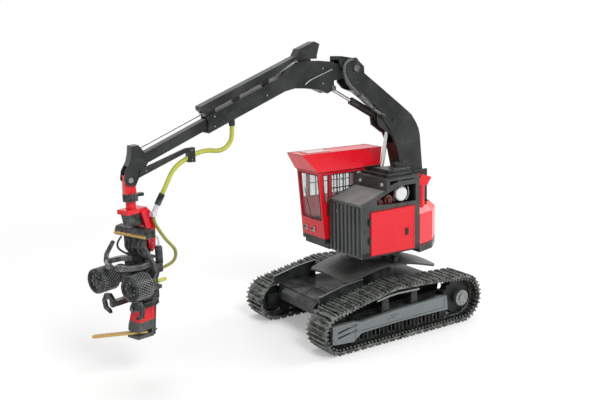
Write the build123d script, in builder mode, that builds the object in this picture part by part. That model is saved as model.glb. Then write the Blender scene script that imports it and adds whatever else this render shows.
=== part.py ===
from build123d import *
from math import acos, atan2, cos, degrees, hypot, pi, radians, sin, tan
import os

os.makedirs("parts", exist_ok=True)

# Display model of a tracked feller buncher, millimetres at its own size.
# Machine axes: X forward, Y to the machine's left, Z up, floor at Z = 0.
# frame_x is how far the middle of the overall length lies ahead of the machine origin.
frame_x = 40.5
floor = Plane(origin=(-frame_x, 0, 0), x_dir=(1, 0, 0), z_dir=(0, 0, 1))
side = Plane(origin=(-frame_x, 0, 0), x_dir=(1, 0, 0), z_dir=(0, -1, 0))
front = Plane(origin=(-frame_x, 0, 0), x_dir=(0, 1, 0), z_dir=(1, 0, 0))

# Clearances
pin_play = 0.06
slide_play = 0.3
turn_play = 0.1

# Tracks: each shoe carries two bars across it
track_outer_y = 34.5
shoe_width = 14.0
shoe_count = 50
lug_height = 0.9
shoe_thickness = 0.8
chain_width = 4.6
chain_depth = 1.1
idler_x = 32.0
idler_z = 9.8
sprocket_x = -38.6
sprocket_z = 11.8
arch_x = 0.0
arch_z = 5.5
arch_radius = 20.0
shoe_depth = shoe_thickness + lug_height

# Track frames and wheels
wheel_y = 27.5
wheel_width = 4.0
sprocket_teeth = 16
sprocket_tooth = 0.8
axle_radius = 1.4
sprocket_hub_radius = 3.0
roller_radius = 2.2
roller_count = 7
roller_front_x = 24.0
roller_rear_x = -29.2
hub_radius = 3.8
hub_length = 2.0
cheek_inner_y = (22.8, 24.6)
cheek_outer_y = (30.4, 31.6)
panel_thickness = 1.8
panel_top = [(36.2, 13.4), (24.6, 13.5), (20.8, 12.6), (-0.6, 14.1), (-29.0, 14.8)]
panel_low = [(-29.8, 7.9), (-0.6, 8.2), (20.8, 7.5), (25.3, 4.4), (36.4, 5.2)]
panel_slots = [[(33.6, 8.2), (27.6, 9.2), (26.8, 8.6), (33.4, 7.2)],
               [(33.4, 10.6), (27.4, 11.6), (26.6, 11.0), (33.4, 9.6)]]
cheek_outline = [(35.6, 6.4), (35.6, 12.6), (24.6, 13.5), (20.8, 12.6), (-0.6, 14.1), (-33.0, 14.8),
                 (-41.0, 14.4), (-41.0, 9.0), (-33.0, 4.2), (26.0, 4.2)]
track_beam = [(22.0, 8.6), (22.0, 11.8), (-29.0, 13.6), (-29.0, 8.6)]
slide_top = [(11.0, 20.1), (4.0, 21.2), (-1.0, 21.5), (-13.4, 21.2)]
slide_thickness = 0.8
slide_posts = [(8.6, 4.6), (-8.2, -12.0)]

# Car body between the tracks
car_outline = [(-34.0, 8.0), (-29.0, 5.5), (22.0, 5.5), (31.0, 12.4), (31.0, 19.2), (-36.0, 19.6)]
car_half_width = 20.2
cross_tube = [(-24.0, 7.0), (18.0, 7.0), (18.0, 13.0), (-24.0, 13.0)]
guard_outline = [(31.0, 12.4), (33.4, 12.8), (33.4, 16.6), (31.0, 18.0)]
guard_half_width = 14.0
fender_outline = [(34.0, 19.0), (34.0, 22.6), (20.6, 25.6), (10.0, 26.8), (10.0, 19.0)]
fender_thickness = 0.7

# Skirt over the car body, as a shallow many-sided cone trimmed to a rectangle
swing_x = -10.0
skirt_front = 16.5
skirt_rear = -39.0
skirt_half_width = 16.2
skirt_low_radius = 33.0
skirt_top_radius = 12.0
skirt_top_z = 31.0
skirt_slope = 0.34
skirt_wall = 0.9
skirt_sides = 32
bearing_radius = 11.0

# Superstructure deck
deck_z = 37.6
deck_top = 40.4
rear_z = 35.6
weight_low_z = 38.4
weight_top_z = 56.6
weight_bevel = 2.6
housing_left_y = 25.0
housing_right_y = 0.5
housing_rear_x = -19.2
grille_x = 14.2
weight_outer = [(-19.4, 25.0), (-30.0, 21.8), (-37.8, 14.8), (-41.2, 6.0), (-42.2, 0.0), (-41.2, -6.0),
                (-37.8, -14.8), (-30.0, -21.8), (-20.0, -22.8)]
weight_inner = [(-20.0, -18.0), (-34.8, -10.0), (-36.0, 0.0), (-36.0, 13.4), (-19.4, 13.4)]
deck_plan = [(grille_x, housing_left_y), (housing_rear_x, housing_left_y), (housing_rear_x, 13.4),
             (-36.0, 13.4), (-36.0, 0.0), (-34.8, -10.0), (-20.0, -18.0), (-15.0, -20.0), (15.0, -20.0),
             (15.0, housing_right_y), (grille_x, housing_right_y)]

# Engine housing beside the boom
hood_front_z = 62.3
hood_rear_x = 0.0
hood_rear_z = 67.0
block_top = 72.4
panel_wall = 1.0
side_wall = 1.2
inner_wall_y = 13.2
opening_outline = [(5.6, 61.4), (5.6, 63.6), (-5.9, 68.2), (-12.2, 68.8), (-16.9, 68.7), (-16.9, 60.8),
                   (-5.9, 60.6)]
vent_outlines = [[(-1.2, 69.2), (-1.2, 71.2), (-6.8, 71.5), (-6.8, 70.8)],
                 [(-8.0, 70.7), (-8.0, 71.6), (-16.4, 71.8), (-16.4, 71.0)]]
air_centre = (-9.9, 64.5)
air_radius = 3.3
grille_low_z = 37.8
grille_ribs = 8
rib_pitch = 3.0
rib_width = 1.2
rib_depth = 0.7
door_outline = [(9.3, 38.7), (9.3, 58.5), (-15.9, 58.8), (-15.9, 38.5)]
door_thickness = 0.5
hinge_x = 9.95
hinge_zs = [(44.0, 47.0), (52.6, 55.6)]
latch = (-12.0, -10.4, 45.6, 48.8)
pipe_centre = (-24.2, 20.0)
pipe_radius = 1.7
pipe_flare = [(-22.2, 67.0), (-22.0, 69.6), (-24.0, 71.6), (-29.2, 69.8), (-26.6, 66.2)]

# Cab on its sill
sill_z = 42.6
cab_near_y = 0.4
cab_far_y = -18.6
cab_wall = 0.9
cab_outline = [(17.4, 42.6), (20.0, 74.6), (-14.0, 74.6), (-14.0, 42.6)]
cab_inside = [(16.5, 43.5), (19.0, 73.7), (-13.1, 73.7), (-13.1, 43.5)]
side_window = (-11.6, 13.2, 60.0, 73.0)
quarter_window = [(14.7, 60.0), (17.0, 60.0), (17.8, 73.0), (14.7, 73.0)]
front_window_z = (51.4, 73.0)
rear_window_z = (56.0, 72.0)
glass = 0.3
guard_bars = 6
guard_bar = 0.4
roof_low = (20.6, -15.0, 0.9, -19.4)
roof_high = (26.0, -20.0, -4.0, -17.6)
roof_z = (74.6, 82.6)
lamp_ys = [-14.8, -8.6]
lamp_z = 46.1
lamp_size = 2.4

# Boom
boom_y = 7.5
boom_half = 4.0
boom_pin = (-26.5, 70.0)
boom_pin_radius = 1.24
boom_foot_radius = 3.4
knuckle_pin = (6.7, 121.6)
knuckle_radius = 3.3
boom_outline = [(-32.7, 70.6), (-31.6, 81.4), (-30.9, 88.7), (-30.0, 92.1), (-28.4, 95.1), (-25.9, 98.6),
                (-23.5, 100.6), (-18.7, 104.2), (-7.0, 112.8), (1.8, 119.2), (2.0, 122.3), (5.3, 125.1),
                (9.7, 125.9), (15.0, 126.7), (15.0, 123.5), (11.5, 118.6), (11.5, 115.3), (8.8, 112.5),
                (3.3, 110.4), (-1.2, 107.0), (-4.6, 104.1), (-6.9, 101.2), (-8.0, 98.9), (-13.3, 92.0),
                (-15.7, 87.1), (-17.5, 81.8), (-20.0, 70.6)]
knuckle_slot = [(2.6, 117.4), (2.6, 123.6), (4.8, 125.4), (17.0, 125.4), (17.0, 110.0), (8.0, 110.0)]
crowd_lug = [(-14.0, 91.5), (-8.0, 101.0), (-6.0, 101.4), (-7.0, 95.0), (-12.6, 91.0)]
crowd_slot = [(-18.2, 100.0), (-9.0, 102.6), (0.0, 104.4), (6.0, 100.0), (0.0, 86.0), (-19.0, 86.0)]
turret_y = (2.4, 12.6)
turret_front_x = -9.0
turret_rear_x = -34.6
pocket_front_x = -16.6
well_front_x = -3.7

# Stick, ram housing and extension
stick_half = 3.5
knuckle_half = 2.6
stick_top = [(79.4, 105.2), (46.0, 118.8), (36.5, 125.0), (26.3, 125.5), (18.0, 124.7)]
stick_low = [(18.0, 112.8), (21.4, 111.2), (25.5, 112.9), (30.7, 113.8), (38.3, 114.2), (43.2, 113.2),
             (79.4, 98.4)]
stick_heel = [(20.0, 124.9), (14.7, 123.6), (7.4, 124.8), (6.0, 118.4), (14.3, 117.1), (20.0, 116.0)]
crowd_fork = [(12.0, 116.0), (22.6, 116.0), (24.0, 110.0), (12.0, 110.0)]
slide_angle = 22.7
extension_half = 2.2
extension_top = (106.6, 92.9)
extension_low = (105.0, 89.2)
extension_length = 55.0
stick_cavity = [(38.0, 122.1), (82.0, 103.7), (80.0, 98.9), (36.0, 117.3)]
ram_half = 2.6
ram_low = [(80.3, 106.3), (47.0, 120.1), (37.2, 126.2), (26.2, 126.3)]
ram_top = [(26.2, 127.7), (24.7, 132.5), (27.3, 133.6), (34.9, 130.6), (36.5, 127.7), (82.1, 109.2),
           (81.9, 107.6)]
ram_feet = [(78.4, 75.4), (66.0, 64.0), (52.0, 50.0), (34.0, 29.0)]
rod_end = (108.0, 95.0)
rod_length = 58.0
rod_radius = 0.7
barrel_radius = 1.15
barrel_span = (50.0, 79.0)
tip_half = 2.5
tip_outline = [(106.3, 92.8), (108.6, 96.2), (111.6, 96.0), (112.0, 92.8), (112.8, 89.8), (114.8, 86.5),
               (115.4, 83.0), (114.0, 80.8), (110.8, 80.8), (109.4, 83.6), (105.3, 89.2)]
hanger_pin = (112.9, 83.0)
hanger_pin_radius = 0.94
guide_arm = [(109.0, 86.8), (89.4, 93.4), (85.8, 93.4), (85.8, 92.0), (89.4, 91.6), (109.4, 83.8)]
guide_clamp = [(85.8, 93.4), (85.8, 87.6), (88.8, 87.6), (88.8, 92.8)]
guide_y = (8.0, 11.0)

# Cylinders: foot pin, rod eye, barrel length, barrel and rod radius
lift_foot = (-5.6, 48.0)
lift_eye = (-15.2, 97.2)
lift_barrel_length = 27.4
lift_radii = (1.9, 0.95)
crowd_foot = (-10.4, 97.6)
crowd_eye = (18.4, 113.4)
crowd_barrel_length = 19.6
crowd_radii = (1.75, 0.75)
rod_hidden = 9.0
foot_pin_radius = 0.8
eye_radius = 1.5
eye_bore = 0.7

# Head, in its own axes: U to its open side, V to its left, turned about the rotor
rotor_offset = -0.3
rotor_x = hanger_pin[0] + rotor_offset
head_yaw = 20.7
collar_z = (74.6, 77.4)
neck_radius = 2.0
plate_z = (69.8, 71.6)
plate_u = (-5.5, 4.5)
plate_half = 3.0
carrier_arm = [(-2.0, 70.4), (-5.4, 71.0), (-7.2, 69.2), (-8.6, 63.6), (-8.2, 54.7), (-6.4, 53.2),
               (-4.7, 55.0), (-4.4, 61.7), (-2.6, 68.2)]
carrier_web = [(-5.4, 71.0), (-7.2, 69.2), (-8.6, 63.6), (-7.4, 63.2), (-6.0, 68.4), (-4.6, 69.8)]
carrier_v = (2.6, 3.6)
tilt_pin = (-6.2, 55.6)
tilt_pin_radius = 0.95
roller_gap_v = 10.0
roller_front_u = 11.8
roller_length = 8.0
feed_radius = 5.0
feed_z = 43.4
shaft_radius = 1.2
arm_pivot = (-3.4, 6.4)
arm_z = (40.6, 45.6)
knife_pivot = (-3.0, 5.2)
knife_z = (49.4, 51.4)
head_pin_radius = 0.74
fork_z = (32.6, 34.8)
claw_pivot = (6.0, 33.7)
claw_u = (6.6, 8.0)
saw_pivot = (-0.8, 1.4)
bar_length = 20.0
bar_angle = -39.5
bar_z = (20.6, 21.4)
box_v = (-3.4, 3.0)
box_split_z = 25.6

# Hoses: X, Z points of each route in a plane across the machine
supply_y = 9.5
supply_radius = 0.9
supply_route = [(68.2, 100.6), (68.2, 97.4), (69.0, 94.2), (71.4, 91.7), (74.9, 90.7), (79.0, 91.5),
                (83.8, 91.2), (91.8, 87.9), (95.6, 84.6), (97.8, 80.4), (100.2, 76.2)]
head_hose_y = 9.33
head_hose_radius = 0.62
head_hose_route = [(104.4, 67.6), (104.4, 65.8), (102.7, 62.2), (99.8, 57.5), (97.3, 54.6), (96.0, 52.6),
                   (95.8, 50.66), (96.47, 48.83), (97.87, 47.48), (101.0, 46.46), (103.9, 45.52)]
boom_hose_y = 12.2
boom_hose_radius = 0.6
boom_hose_route = [(8.2, 125.4), (10.4, 125.4), (12.39, 124.25), (13.54, 122.26), (13.4, 119.1),
                   (11.9, 115.8), (8.9, 112.8), (5.3, 109.7), (1.5, 106.3), (-2.5, 103.0), (-6.6, 100.4)]
collar_length = 4.8
fitting_length = 3.4

head_axis = Vector(cos(radians(head_yaw)), sin(radians(head_yaw)), 0)
head_left = Vector(-sin(radians(head_yaw)), cos(radians(head_yaw)), 0)
head_origin = Vector(rotor_x - frame_x, boom_y, 0)
head_floor = Plane(origin=head_origin, x_dir=head_axis, z_dir=(0, 0, 1))
head_side = Plane(origin=head_origin, x_dir=head_axis, z_dir=-head_left)
head_front = Plane(origin=head_origin, x_dir=head_left, z_dir=head_axis)


def slab(base, points, low, high, mode=Mode.ADD):
    """A polygon drawn on a base plane and carried between two distances along the plane's normal."""
    with BuildSketch(base.offset(low)) as outline:
        with BuildLine():
            Polyline(points, close=True)
        make_face()
    extrude(outline.sketch, amount=high - low, mode=mode)


def side_slab(points, y_low, y_high, mode=Mode.ADD):
    """A side outline in X and Z carried from one Y to another."""
    slab(side, points, -y_high, -y_low, mode)


def block(x, y, z, mode=Mode.ADD):
    """A box between pairs of X, Y and Z."""
    slab(floor, [(x[0], y[0]), (x[1], y[0]), (x[1], y[1]), (x[0], y[1])], z[0], z[1], mode)


def disc(base, centre, radius, low, high, mode=Mode.ADD):
    """A round drawn on a base plane and carried between two distances along its normal."""
    with BuildSketch(base.offset(low)) as outline:
        with Locations(centre):
            Circle(radius)
    extrude(outline.sketch, amount=high - low, mode=mode)


def side_disc(centre, radius, y_low, y_high, mode=Mode.ADD):
    """A round bar or bore across the machine."""
    disc(side, centre, radius, -y_high, -y_low, mode)


def bar_between(start, end, y, radius, mode=Mode.ADD):
    """A round bar from one X, Z point to another at one Y."""
    dx = end[0] - start[0]
    dz = end[1] - start[1]
    base = Plane(origin=(start[0] - frame_x, y, start[1]), x_dir=(0, 1, 0), z_dir=(dx, 0, dz))
    with BuildSketch(base) as outline:
        Circle(radius)
    extrude(outline.sketch, amount=hypot(dx, dz), mode=mode)


def pair(near, far, hand):
    """Two distances from the middle as a low and a high Y on the left (1) or right (-1)."""
    return sorted((hand * near, hand * far))


def around(centre, points):
    """Points given from a centre as points of its plane."""
    return [(centre[0] + x, centre[1] + z) for x, z in points]


def along(start, end, distance):
    """The X, Z point a distance from the start on the way to the end."""
    run = hypot(end[0] - start[0], end[1] - start[1])
    share = distance / run
    return (start[0] + (end[0] - start[0]) * share, start[1] + (end[1] - start[1]) * share)


def level(points, x):
    """The height of a chain of points at one X."""
    ordered = sorted(points)
    for (xa, za), (xb, zb) in zip(ordered, ordered[1:]):
        if xa <= x <= xb and xb > xa:
            return za + (zb - za) * (x - xa) / (xb - xa)
    return ordered[0][1] if x < ordered[0][0] else ordered[-1][1]


def slide_back(point, distance):
    """A point moved back along the stick's slide."""
    return (point[0] - distance * cos(radians(slide_angle)), point[1] + distance * sin(radians(slide_angle)))


def loop_frames(rounds, count):
    """Points, directions and outward directions spaced evenly round a taut loop about circles."""
    pieces = []
    touch = []
    for k in range(len(rounds)):
        x1, z1, r1 = rounds[k]
        x2, z2, r2 = rounds[(k + 1) % len(rounds)]
        run = hypot(x2 - x1, z2 - z1)
        out = atan2(z2 - z1, x2 - x1) - acos((r1 - r2) / run)
        touch.append((out, (x1 + r1 * cos(out), z1 + r1 * sin(out)), (x2 + r2 * cos(out), z2 + r2 * sin(out))))
    for k in range(len(rounds)):
        before = touch[k - 1][0]
        out, start, end = touch[k]
        pieces.append(("arc", rounds[k], before, (out - before) % (2 * pi)))
        pieces.append(("line", start, end, out))
    lengths = []
    for piece in pieces:
        if piece[0] == "arc":
            lengths.append(piece[1][2] * piece[3])
        else:
            lengths.append(hypot(piece[2][0] - piece[1][0], piece[2][1] - piece[1][1]))
    frames = []
    for n in range(count):
        s = (n + 0.5) * sum(lengths) / count
        k = 0
        while s > lengths[k]:
            s -= lengths[k]
            k += 1
        piece = pieces[k]
        if piece[0] == "arc":
            x, z, r = piece[1]
            out = piece[2] + s / r
            point = (x + r * cos(out), z + r * sin(out))
        else:
            out = piece[3]
            share = s / lengths[k]
            point = tuple(a + (b - a) * share for a, b in zip(piece[1], piece[2]))
        frames.append((point, (-sin(out), cos(out)), (cos(out), sin(out))))
    return frames, sum(lengths)


def loop_points(inset, profile, count):
    """The outline that a repeated profile makes round the track loop."""
    rounds = [(idler_x, idler_z, idler_z - inset), (arch_x, arch_z, arch_radius - inset),
              (sprocket_x, sprocket_z, sprocket_z - inset)]
    frames, length = loop_frames(rounds, count)
    pitch = length / count
    points = []
    for point, forward, out in frames:
        for u, v in profile:
            points.append((point[0] + u * pitch * forward[0] + v * out[0],
                           point[1] + u * pitch * forward[1] + v * out[1]))
    return points


# Tracks
shoe_profile = [(-0.46, 0.25), (-0.43, shoe_thickness), (-0.38, shoe_depth), (-0.26, shoe_depth),
                (-0.20, shoe_thickness), (0.20, shoe_thickness), (0.26, shoe_depth), (0.38, shoe_depth),
                (0.43, shoe_thickness), (0.46, 0.25)]
track_outline = loop_points(shoe_depth, shoe_profile, shoe_count)
track_inside = loop_points(shoe_depth, [(-0.25, 0.0), (0.25, 0.0)], shoe_count)
chain_inside = loop_points(shoe_depth + chain_depth, [(-0.25, 0.0), (0.25, 0.0)], shoe_count)
track_parts = []
for hand in (1, -1):
    low, high = pair(track_outer_y - shoe_width, track_outer_y, hand)
    chain_low, chain_high = pair(wheel_y - chain_width / 2, wheel_y + chain_width / 2, hand)
    with BuildPart() as track:
        side_slab(track_outline, low, high)
        side_slab(track_inside, low - 1, high + 1, Mode.SUBTRACT)
        side_slab(track_inside, chain_low, chain_high)
        side_slab(chain_inside, chain_low - 1, chain_high + 1, Mode.SUBTRACT)
    track_parts.append(track)
track_left, track_right = track_parts
track_left.part.label = "track_left"
export_step(track_left.part, "parts/track_left.step")
track_right.part.label = "track_right"
export_step(track_right.part, "parts/track_right.step")

# Car body, track frames and the posts of the upper slides
slide_low = [(x, z - slide_thickness) for x, z in slide_top]
with BuildPart() as undercarriage_frame:
    side_slab(car_outline, -car_half_width, car_half_width)
    side_slab(guard_outline, -guard_half_width, guard_half_width)
    side_slab(cross_tube, -cheek_inner_y[1], cheek_inner_y[1])
    disc(floor, (swing_x, 0), bearing_radius, 19.0, rear_z)
    for hand in (1, -1):
        low, high = pair(car_half_width - fender_thickness, car_half_width, hand)
        side_slab(fender_outline, low, high)
        low, high = pair(cheek_inner_y[0], cheek_inner_y[1], hand)
        side_slab(cheek_outline, low, high)
        low, high = pair(cheek_outer_y[0], cheek_outer_y[1], hand)
        side_slab(panel_top + panel_low, low, high)
        for x_front, x_rear in slide_posts:
            side_slab([(x_front, 12.0), (x_front - 1.0, level(slide_low, x_front - 1.0)),
                       (x_rear, level(slide_low, x_rear)), (x_rear - 1.0, 12.0)], low, high)
        low, high = pair(cheek_inner_y[1], cheek_outer_y[0], hand)
        side_slab(track_beam, low, high)
undercarriage_frame.part.label = "undercarriage_frame"
export_step(undercarriage_frame.part, "parts/undercarriage_frame.step")

with BuildPart() as track_slides:
    for hand in (1, -1):
        low, high = pair(cheek_outer_y[0] - 1.4, cheek_outer_y[1] + 0.4, hand)
        side_slab(slide_top + slide_low[::-1], low, high)
track_slides.part.label = "track_slides"
export_step(track_slides.part, "parts/track_slides.step")

with BuildPart() as side_panels:
    for hand in (1, -1):
        low, high = pair(cheek_outer_y[1], cheek_outer_y[1] + panel_thickness, hand)
        side_slab(panel_top + panel_low, low, high)
        low, high = pair(cheek_outer_y[1] + panel_thickness / 2, cheek_outer_y[1] + panel_thickness + 1, hand)
        for outline in panel_slots:
            side_slab(outline, low, high, Mode.SUBTRACT)
side_panels.part.label = "side_panels"
export_step(side_panels.part, "parts/side_panels.step")

# Idlers, toothed sprockets and rollers
chain_gap = 0.2
idler_radius = idler_z - shoe_depth - chain_depth - chain_gap
sprocket_radius = sprocket_z - shoe_depth - chain_depth - chain_gap
roller_z = shoe_depth + chain_depth + roller_radius + chain_gap
teeth = []
for k in range(sprocket_teeth):
    for u, v in ((-0.25, 0.0), (-0.12, sprocket_tooth), (0.12, sprocket_tooth), (0.25, 0.0)):
        turn = 2 * pi * (k + u) / sprocket_teeth
        reach = sprocket_radius - sprocket_tooth + v
        teeth.append((sprocket_x + reach * cos(turn), sprocket_z + reach * sin(turn)))
with BuildPart() as track_wheels:
    for hand in (1, -1):
        low, high = pair(wheel_y - wheel_width / 2, wheel_y + wheel_width / 2, hand)
        seat_low, seat_high = pair(cheek_inner_y[1], cheek_outer_y[0], hand)
        side_disc((idler_x, idler_z), idler_radius, low, high)
        side_disc((idler_x, idler_z), axle_radius, seat_low, seat_high)
        side_slab(teeth, low, high)
        low, high = pair(cheek_inner_y[1], cheek_outer_y[1], hand)
        side_disc((sprocket_x, sprocket_z), sprocket_hub_radius, low, high)
        for k in range(roller_count):
            x = roller_front_x + (roller_rear_x - roller_front_x) * k / (roller_count - 1)
            side_disc((x, roller_z), roller_radius, seat_low, seat_high)
track_wheels.part.label = "track_wheels"
export_step(track_wheels.part, "parts/track_wheels.step")

with BuildPart() as drive_hubs:
    for hand in (1, -1):
        low, high = pair(cheek_outer_y[1], cheek_outer_y[1] + hub_length, hand)
        side_disc((sprocket_x, sprocket_z), hub_radius, low, high)
drive_hubs.part.label = "drive_hubs"
export_step(drive_hubs.part, "parts/drive_hubs.step")

# Skirt
skirt_low_z = skirt_top_z - skirt_slope * (skirt_low_radius - skirt_top_radius)
skirt_taper = 90 - degrees(atan2(skirt_slope, 1))
with BuildPart() as slew_skirt:
    for drop, mode in ((0.0, Mode.ADD), (skirt_wall, Mode.SUBTRACT)):
        with BuildSketch(floor.offset(skirt_low_z - drop)) as low_ring:
            with Locations((swing_x, 0)):
                RegularPolygon(skirt_low_radius, skirt_sides)
        extrude(low_ring.sketch, amount=skirt_top_z - skirt_low_z, taper=skirt_taper, mode=mode)
    with BuildSketch(floor.offset(15)) as trim:
        with Locations(((skirt_front + skirt_rear) / 2, 0)):
            Rectangle(skirt_front - skirt_rear, 2 * skirt_half_width)
        chamfer(trim.vertices(), 2.5)
    extrude(trim.sketch, amount=25, mode=Mode.INTERSECT)
    disc(floor, (swing_x, 0), bearing_radius + turn_play, skirt_top_z - 2, skirt_top_z + 1, Mode.SUBTRACT)
slew_skirt.part.label = "slew_skirt"
export_step(slew_skirt.part, "parts/slew_skirt.step")

# Deck with the boom's turret and the lift cylinder's lugs
lane = (boom_y - boom_half - slide_play, boom_y + boom_half + slide_play)
lift_gap = (boom_y - lift_radii[0] - 0.7, boom_y + lift_radii[0] + 0.7)
with BuildPart() as swing_deck:
    slab(floor, deck_plan, deck_z, deck_top)
    slab(floor, weight_outer + [(-23.0, -19.6), (-23.0, 13.4), (-19.4, 13.4)], rear_z, weight_low_z)
    disc(floor, (swing_x, 0), bearing_radius + 0.8, rear_z + turn_play, deck_z)
    block((turret_rear_x, turret_front_x), turret_y, (deck_top - 1, block_top))
    block((-24.0, turret_front_x + 1), (boom_y - 2.6, boom_y + 2.6), (deck_top, block_top + 1), Mode.SUBTRACT)
    block((turret_rear_x - 1, pocket_front_x), lane, (boom_pin[1] - boom_foot_radius - 0.6, block_top + 1),
          Mode.SUBTRACT)
    side_disc(boom_pin, boom_pin_radius, turret_y[0] - 0.4, turret_y[1] + 0.4)
    for y_a, y_b in ((boom_y - 3.9, boom_y - 2.1), (boom_y + 2.1, boom_y + 3.9)):
        side_slab([(-8.6, deck_top - 1), (-7.2, 49.6), (-4.0, 49.6), (-3.2, deck_top - 1)], y_a, y_b)
    side_disc(lift_foot, foot_pin_radius, boom_y - 3.9, boom_y + 3.9)
    block((-14.4, -7.4), (12.0, 16.0), (31.8, deck_z))
    side_disc((-10.9, 32.4), 1.3, 16.0, 18.4)
    block((8.0, 12.0), (10.0, 13.0), (35.6, deck_z))
swing_deck.part.label = "swing_deck"
export_step(swing_deck.part, "parts/swing_deck.step")

# Engine housing: side walls, front wall, cross block over the engine and its top plate
hood_slope = (hood_rear_z - hood_front_z) / (grille_x - hood_rear_x)
hood_thickness = 0.6
with BuildPart() as engine_housing:
    side_slab([(grille_x, deck_top), (grille_x, hood_front_z), (hood_rear_x, hood_rear_z),
               (hood_rear_x, block_top), (housing_rear_x, block_top), (housing_rear_x, deck_top)],
              housing_left_y - side_wall, housing_left_y)
    side_slab(opening_outline, housing_left_y - 3, housing_left_y + 1, Mode.SUBTRACT)
    for outline in vent_outlines:
        side_slab(outline, housing_left_y - 3, housing_left_y + 1, Mode.SUBTRACT)
    block((grille_x - panel_wall, grille_x), (housing_right_y, housing_left_y),
          (deck_top, hood_front_z - hood_thickness))
    side_slab([(grille_x, deck_top), (grille_x, hood_front_z), (hood_rear_x - 1.8, hood_rear_z + 0.6),
               (hood_rear_x - 1.8, deck_top)], housing_right_y, housing_right_y + panel_wall)
    block((hood_rear_x - 1.8, hood_rear_x), (housing_right_y, housing_left_y),
          (hood_rear_z - hood_thickness, block_top))
    block((turret_front_x, hood_rear_x), (housing_right_y, housing_left_y), (block_top - 1, block_top))
    block((turret_front_x - 1, well_front_x), lift_gap, (block_top - 2, block_top + 1), Mode.SUBTRACT)
    block((housing_rear_x, turret_front_x), (inner_wall_y, housing_left_y), (block_top - 1, block_top))
    block((housing_rear_x, -3.0), (inner_wall_y, inner_wall_y + panel_wall), (deck_top, block_top))
    block((housing_rear_x, housing_rear_x + panel_wall), (inner_wall_y, housing_left_y),
          (deck_top, block_top))
    block((air_centre[0] - 3.6, air_centre[0] + 3.6), (inner_wall_y, 21.6),
          (air_centre[1] - 3.4, air_centre[1] + 3.6))
engine_housing.part.label = "engine_housing"
export_step(engine_housing.part, "parts/engine_housing.step")

with BuildPart() as front_grille:
    block((grille_x, grille_x + 0.4), (housing_right_y, housing_left_y), (grille_low_z, hood_front_z))
    for k in range(grille_ribs):
        y = housing_right_y + 1.2 + k * rib_pitch
        block((grille_x + 0.4, grille_x + 0.4 + rib_depth), (y, y + rib_width),
              (grille_low_z + 0.8, hood_front_z - 1.4))
    block((grille_x + 0.4, grille_x + 0.9), (housing_right_y, housing_left_y),
          (hood_front_z - 0.8, hood_front_z))
front_grille.part.label = "front_grille"
export_step(front_grille.part, "parts/front_grille.step")

with BuildPart() as hood_panel:
    side_slab([(grille_x, hood_front_z - hood_thickness), (grille_x, hood_front_z),
               (hood_rear_x, hood_rear_z), (hood_rear_x, hood_rear_z - hood_thickness)],
              housing_right_y + panel_wall, housing_left_y - side_wall)
hood_panel.part.label = "hood_panel"
export_step(hood_panel.part, "parts/hood_panel.step")

with BuildPart() as engine_block:
    block((-14.0, 6.0), (15.4, 21.4), (deck_top, 60.4))
    for x, z, radius in ((-3.0, 62.4, 2.3), (2.2, 61.6, 1.8)):
        block((x - radius, x + radius), (15.4, 22.0), (60.0, z))
        side_disc((x, z), radius, 15.4, 22.4)
        side_disc((x, z), radius * 0.55, 22.4, 23.0)
engine_block.part.label = "engine_block"
export_step(engine_block.part, "parts/engine_block.step")

with BuildPart() as air_disc:
    side_disc(air_centre, air_radius, 21.6, 23.2)
air_disc.part.label = "air_disc"
export_step(air_disc.part, "parts/air_disc.step")

with BuildPart() as side_door:
    side_slab(door_outline, housing_left_y, housing_left_y + door_thickness)
side_door.part.label = "side_door"
export_step(side_door.part, "parts/side_door.step")

# Latch and hinges on the side door, and the cab's grab handle
with BuildPart() as door_fittings:
    block(latch[:2], (housing_left_y + door_thickness, housing_left_y + door_thickness + 0.4), latch[2:])
    for z_low, z_high in hinge_zs:
        block((hinge_x - 0.5, hinge_x + 0.5), (housing_left_y, housing_left_y + 0.9), (z_low, z_high))
    block((15.7, 16.2), (cab_near_y + 0.7, cab_near_y + 1.1), (54.0, 59.2))
    for z in (54.4, 58.4):
        block((15.7, 16.2), (cab_near_y, cab_near_y + 0.7), (z, z + 0.5))
door_fittings.part.label = "door_fittings"
export_step(door_fittings.part, "parts/door_fittings.step")

# Stepped cover beside the boom's foot: plan front, right and left edges, low and high Z
with BuildPart() as deck_steps:
    for x_front, y_right, y_left, z_low, z_high in ((-2.6, 3.0, 22.2, block_top, 73.8),
                                                    (-4.2, 3.4, 20.8, 73.8, 75.6)):
        block((-13.0, x_front), (y_right, y_left), (z_low, z_high))
        block((-17.0, -13.0), (turret_y[1] + 0.8, y_left), (z_low, z_high))
        block((-14.0, well_front_x), lift_gap, (z_low - 0.1, z_high + 0.1), Mode.SUBTRACT)
    block((-18.0, -11.6), (turret_y[1] + 0.8, 17.4), (75.6, 77.6))
deck_steps.part.label = "deck_steps"
export_step(deck_steps.part, "parts/deck_steps.step")

with BuildPart() as counterweight:
    slab(floor, weight_outer + [(0.0, -22.8), (0.0, 25.0)], weight_low_z, weight_top_z - weight_bevel)
    with BuildSketch(floor.offset(weight_top_z - weight_bevel)) as weight_plan:
        with BuildLine():
            Polyline(weight_outer + [(0.0, -22.8), (0.0, 25.0)], close=True)
        make_face()
    extrude(weight_plan.sketch, amount=weight_bevel, taper=45)
    slab(floor, weight_inner + [(-19.4, 30.0), (5.0, 30.0), (5.0, -30.0), (-20.0, -30.0)],
         weight_low_z - 1, weight_top_z + 1, Mode.SUBTRACT)
counterweight.part.label = "counterweight"
export_step(counterweight.part, "parts/counterweight.step")

# Cab
with BuildPart() as cab_sill:
    block((cab_outline[3][0], cab_outline[0][0]), (cab_far_y, cab_near_y - 0.1), (deck_top, sill_z))
cab_sill.part.label = "cab_sill"
export_step(cab_sill.part, "parts/cab_sill.step")

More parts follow.
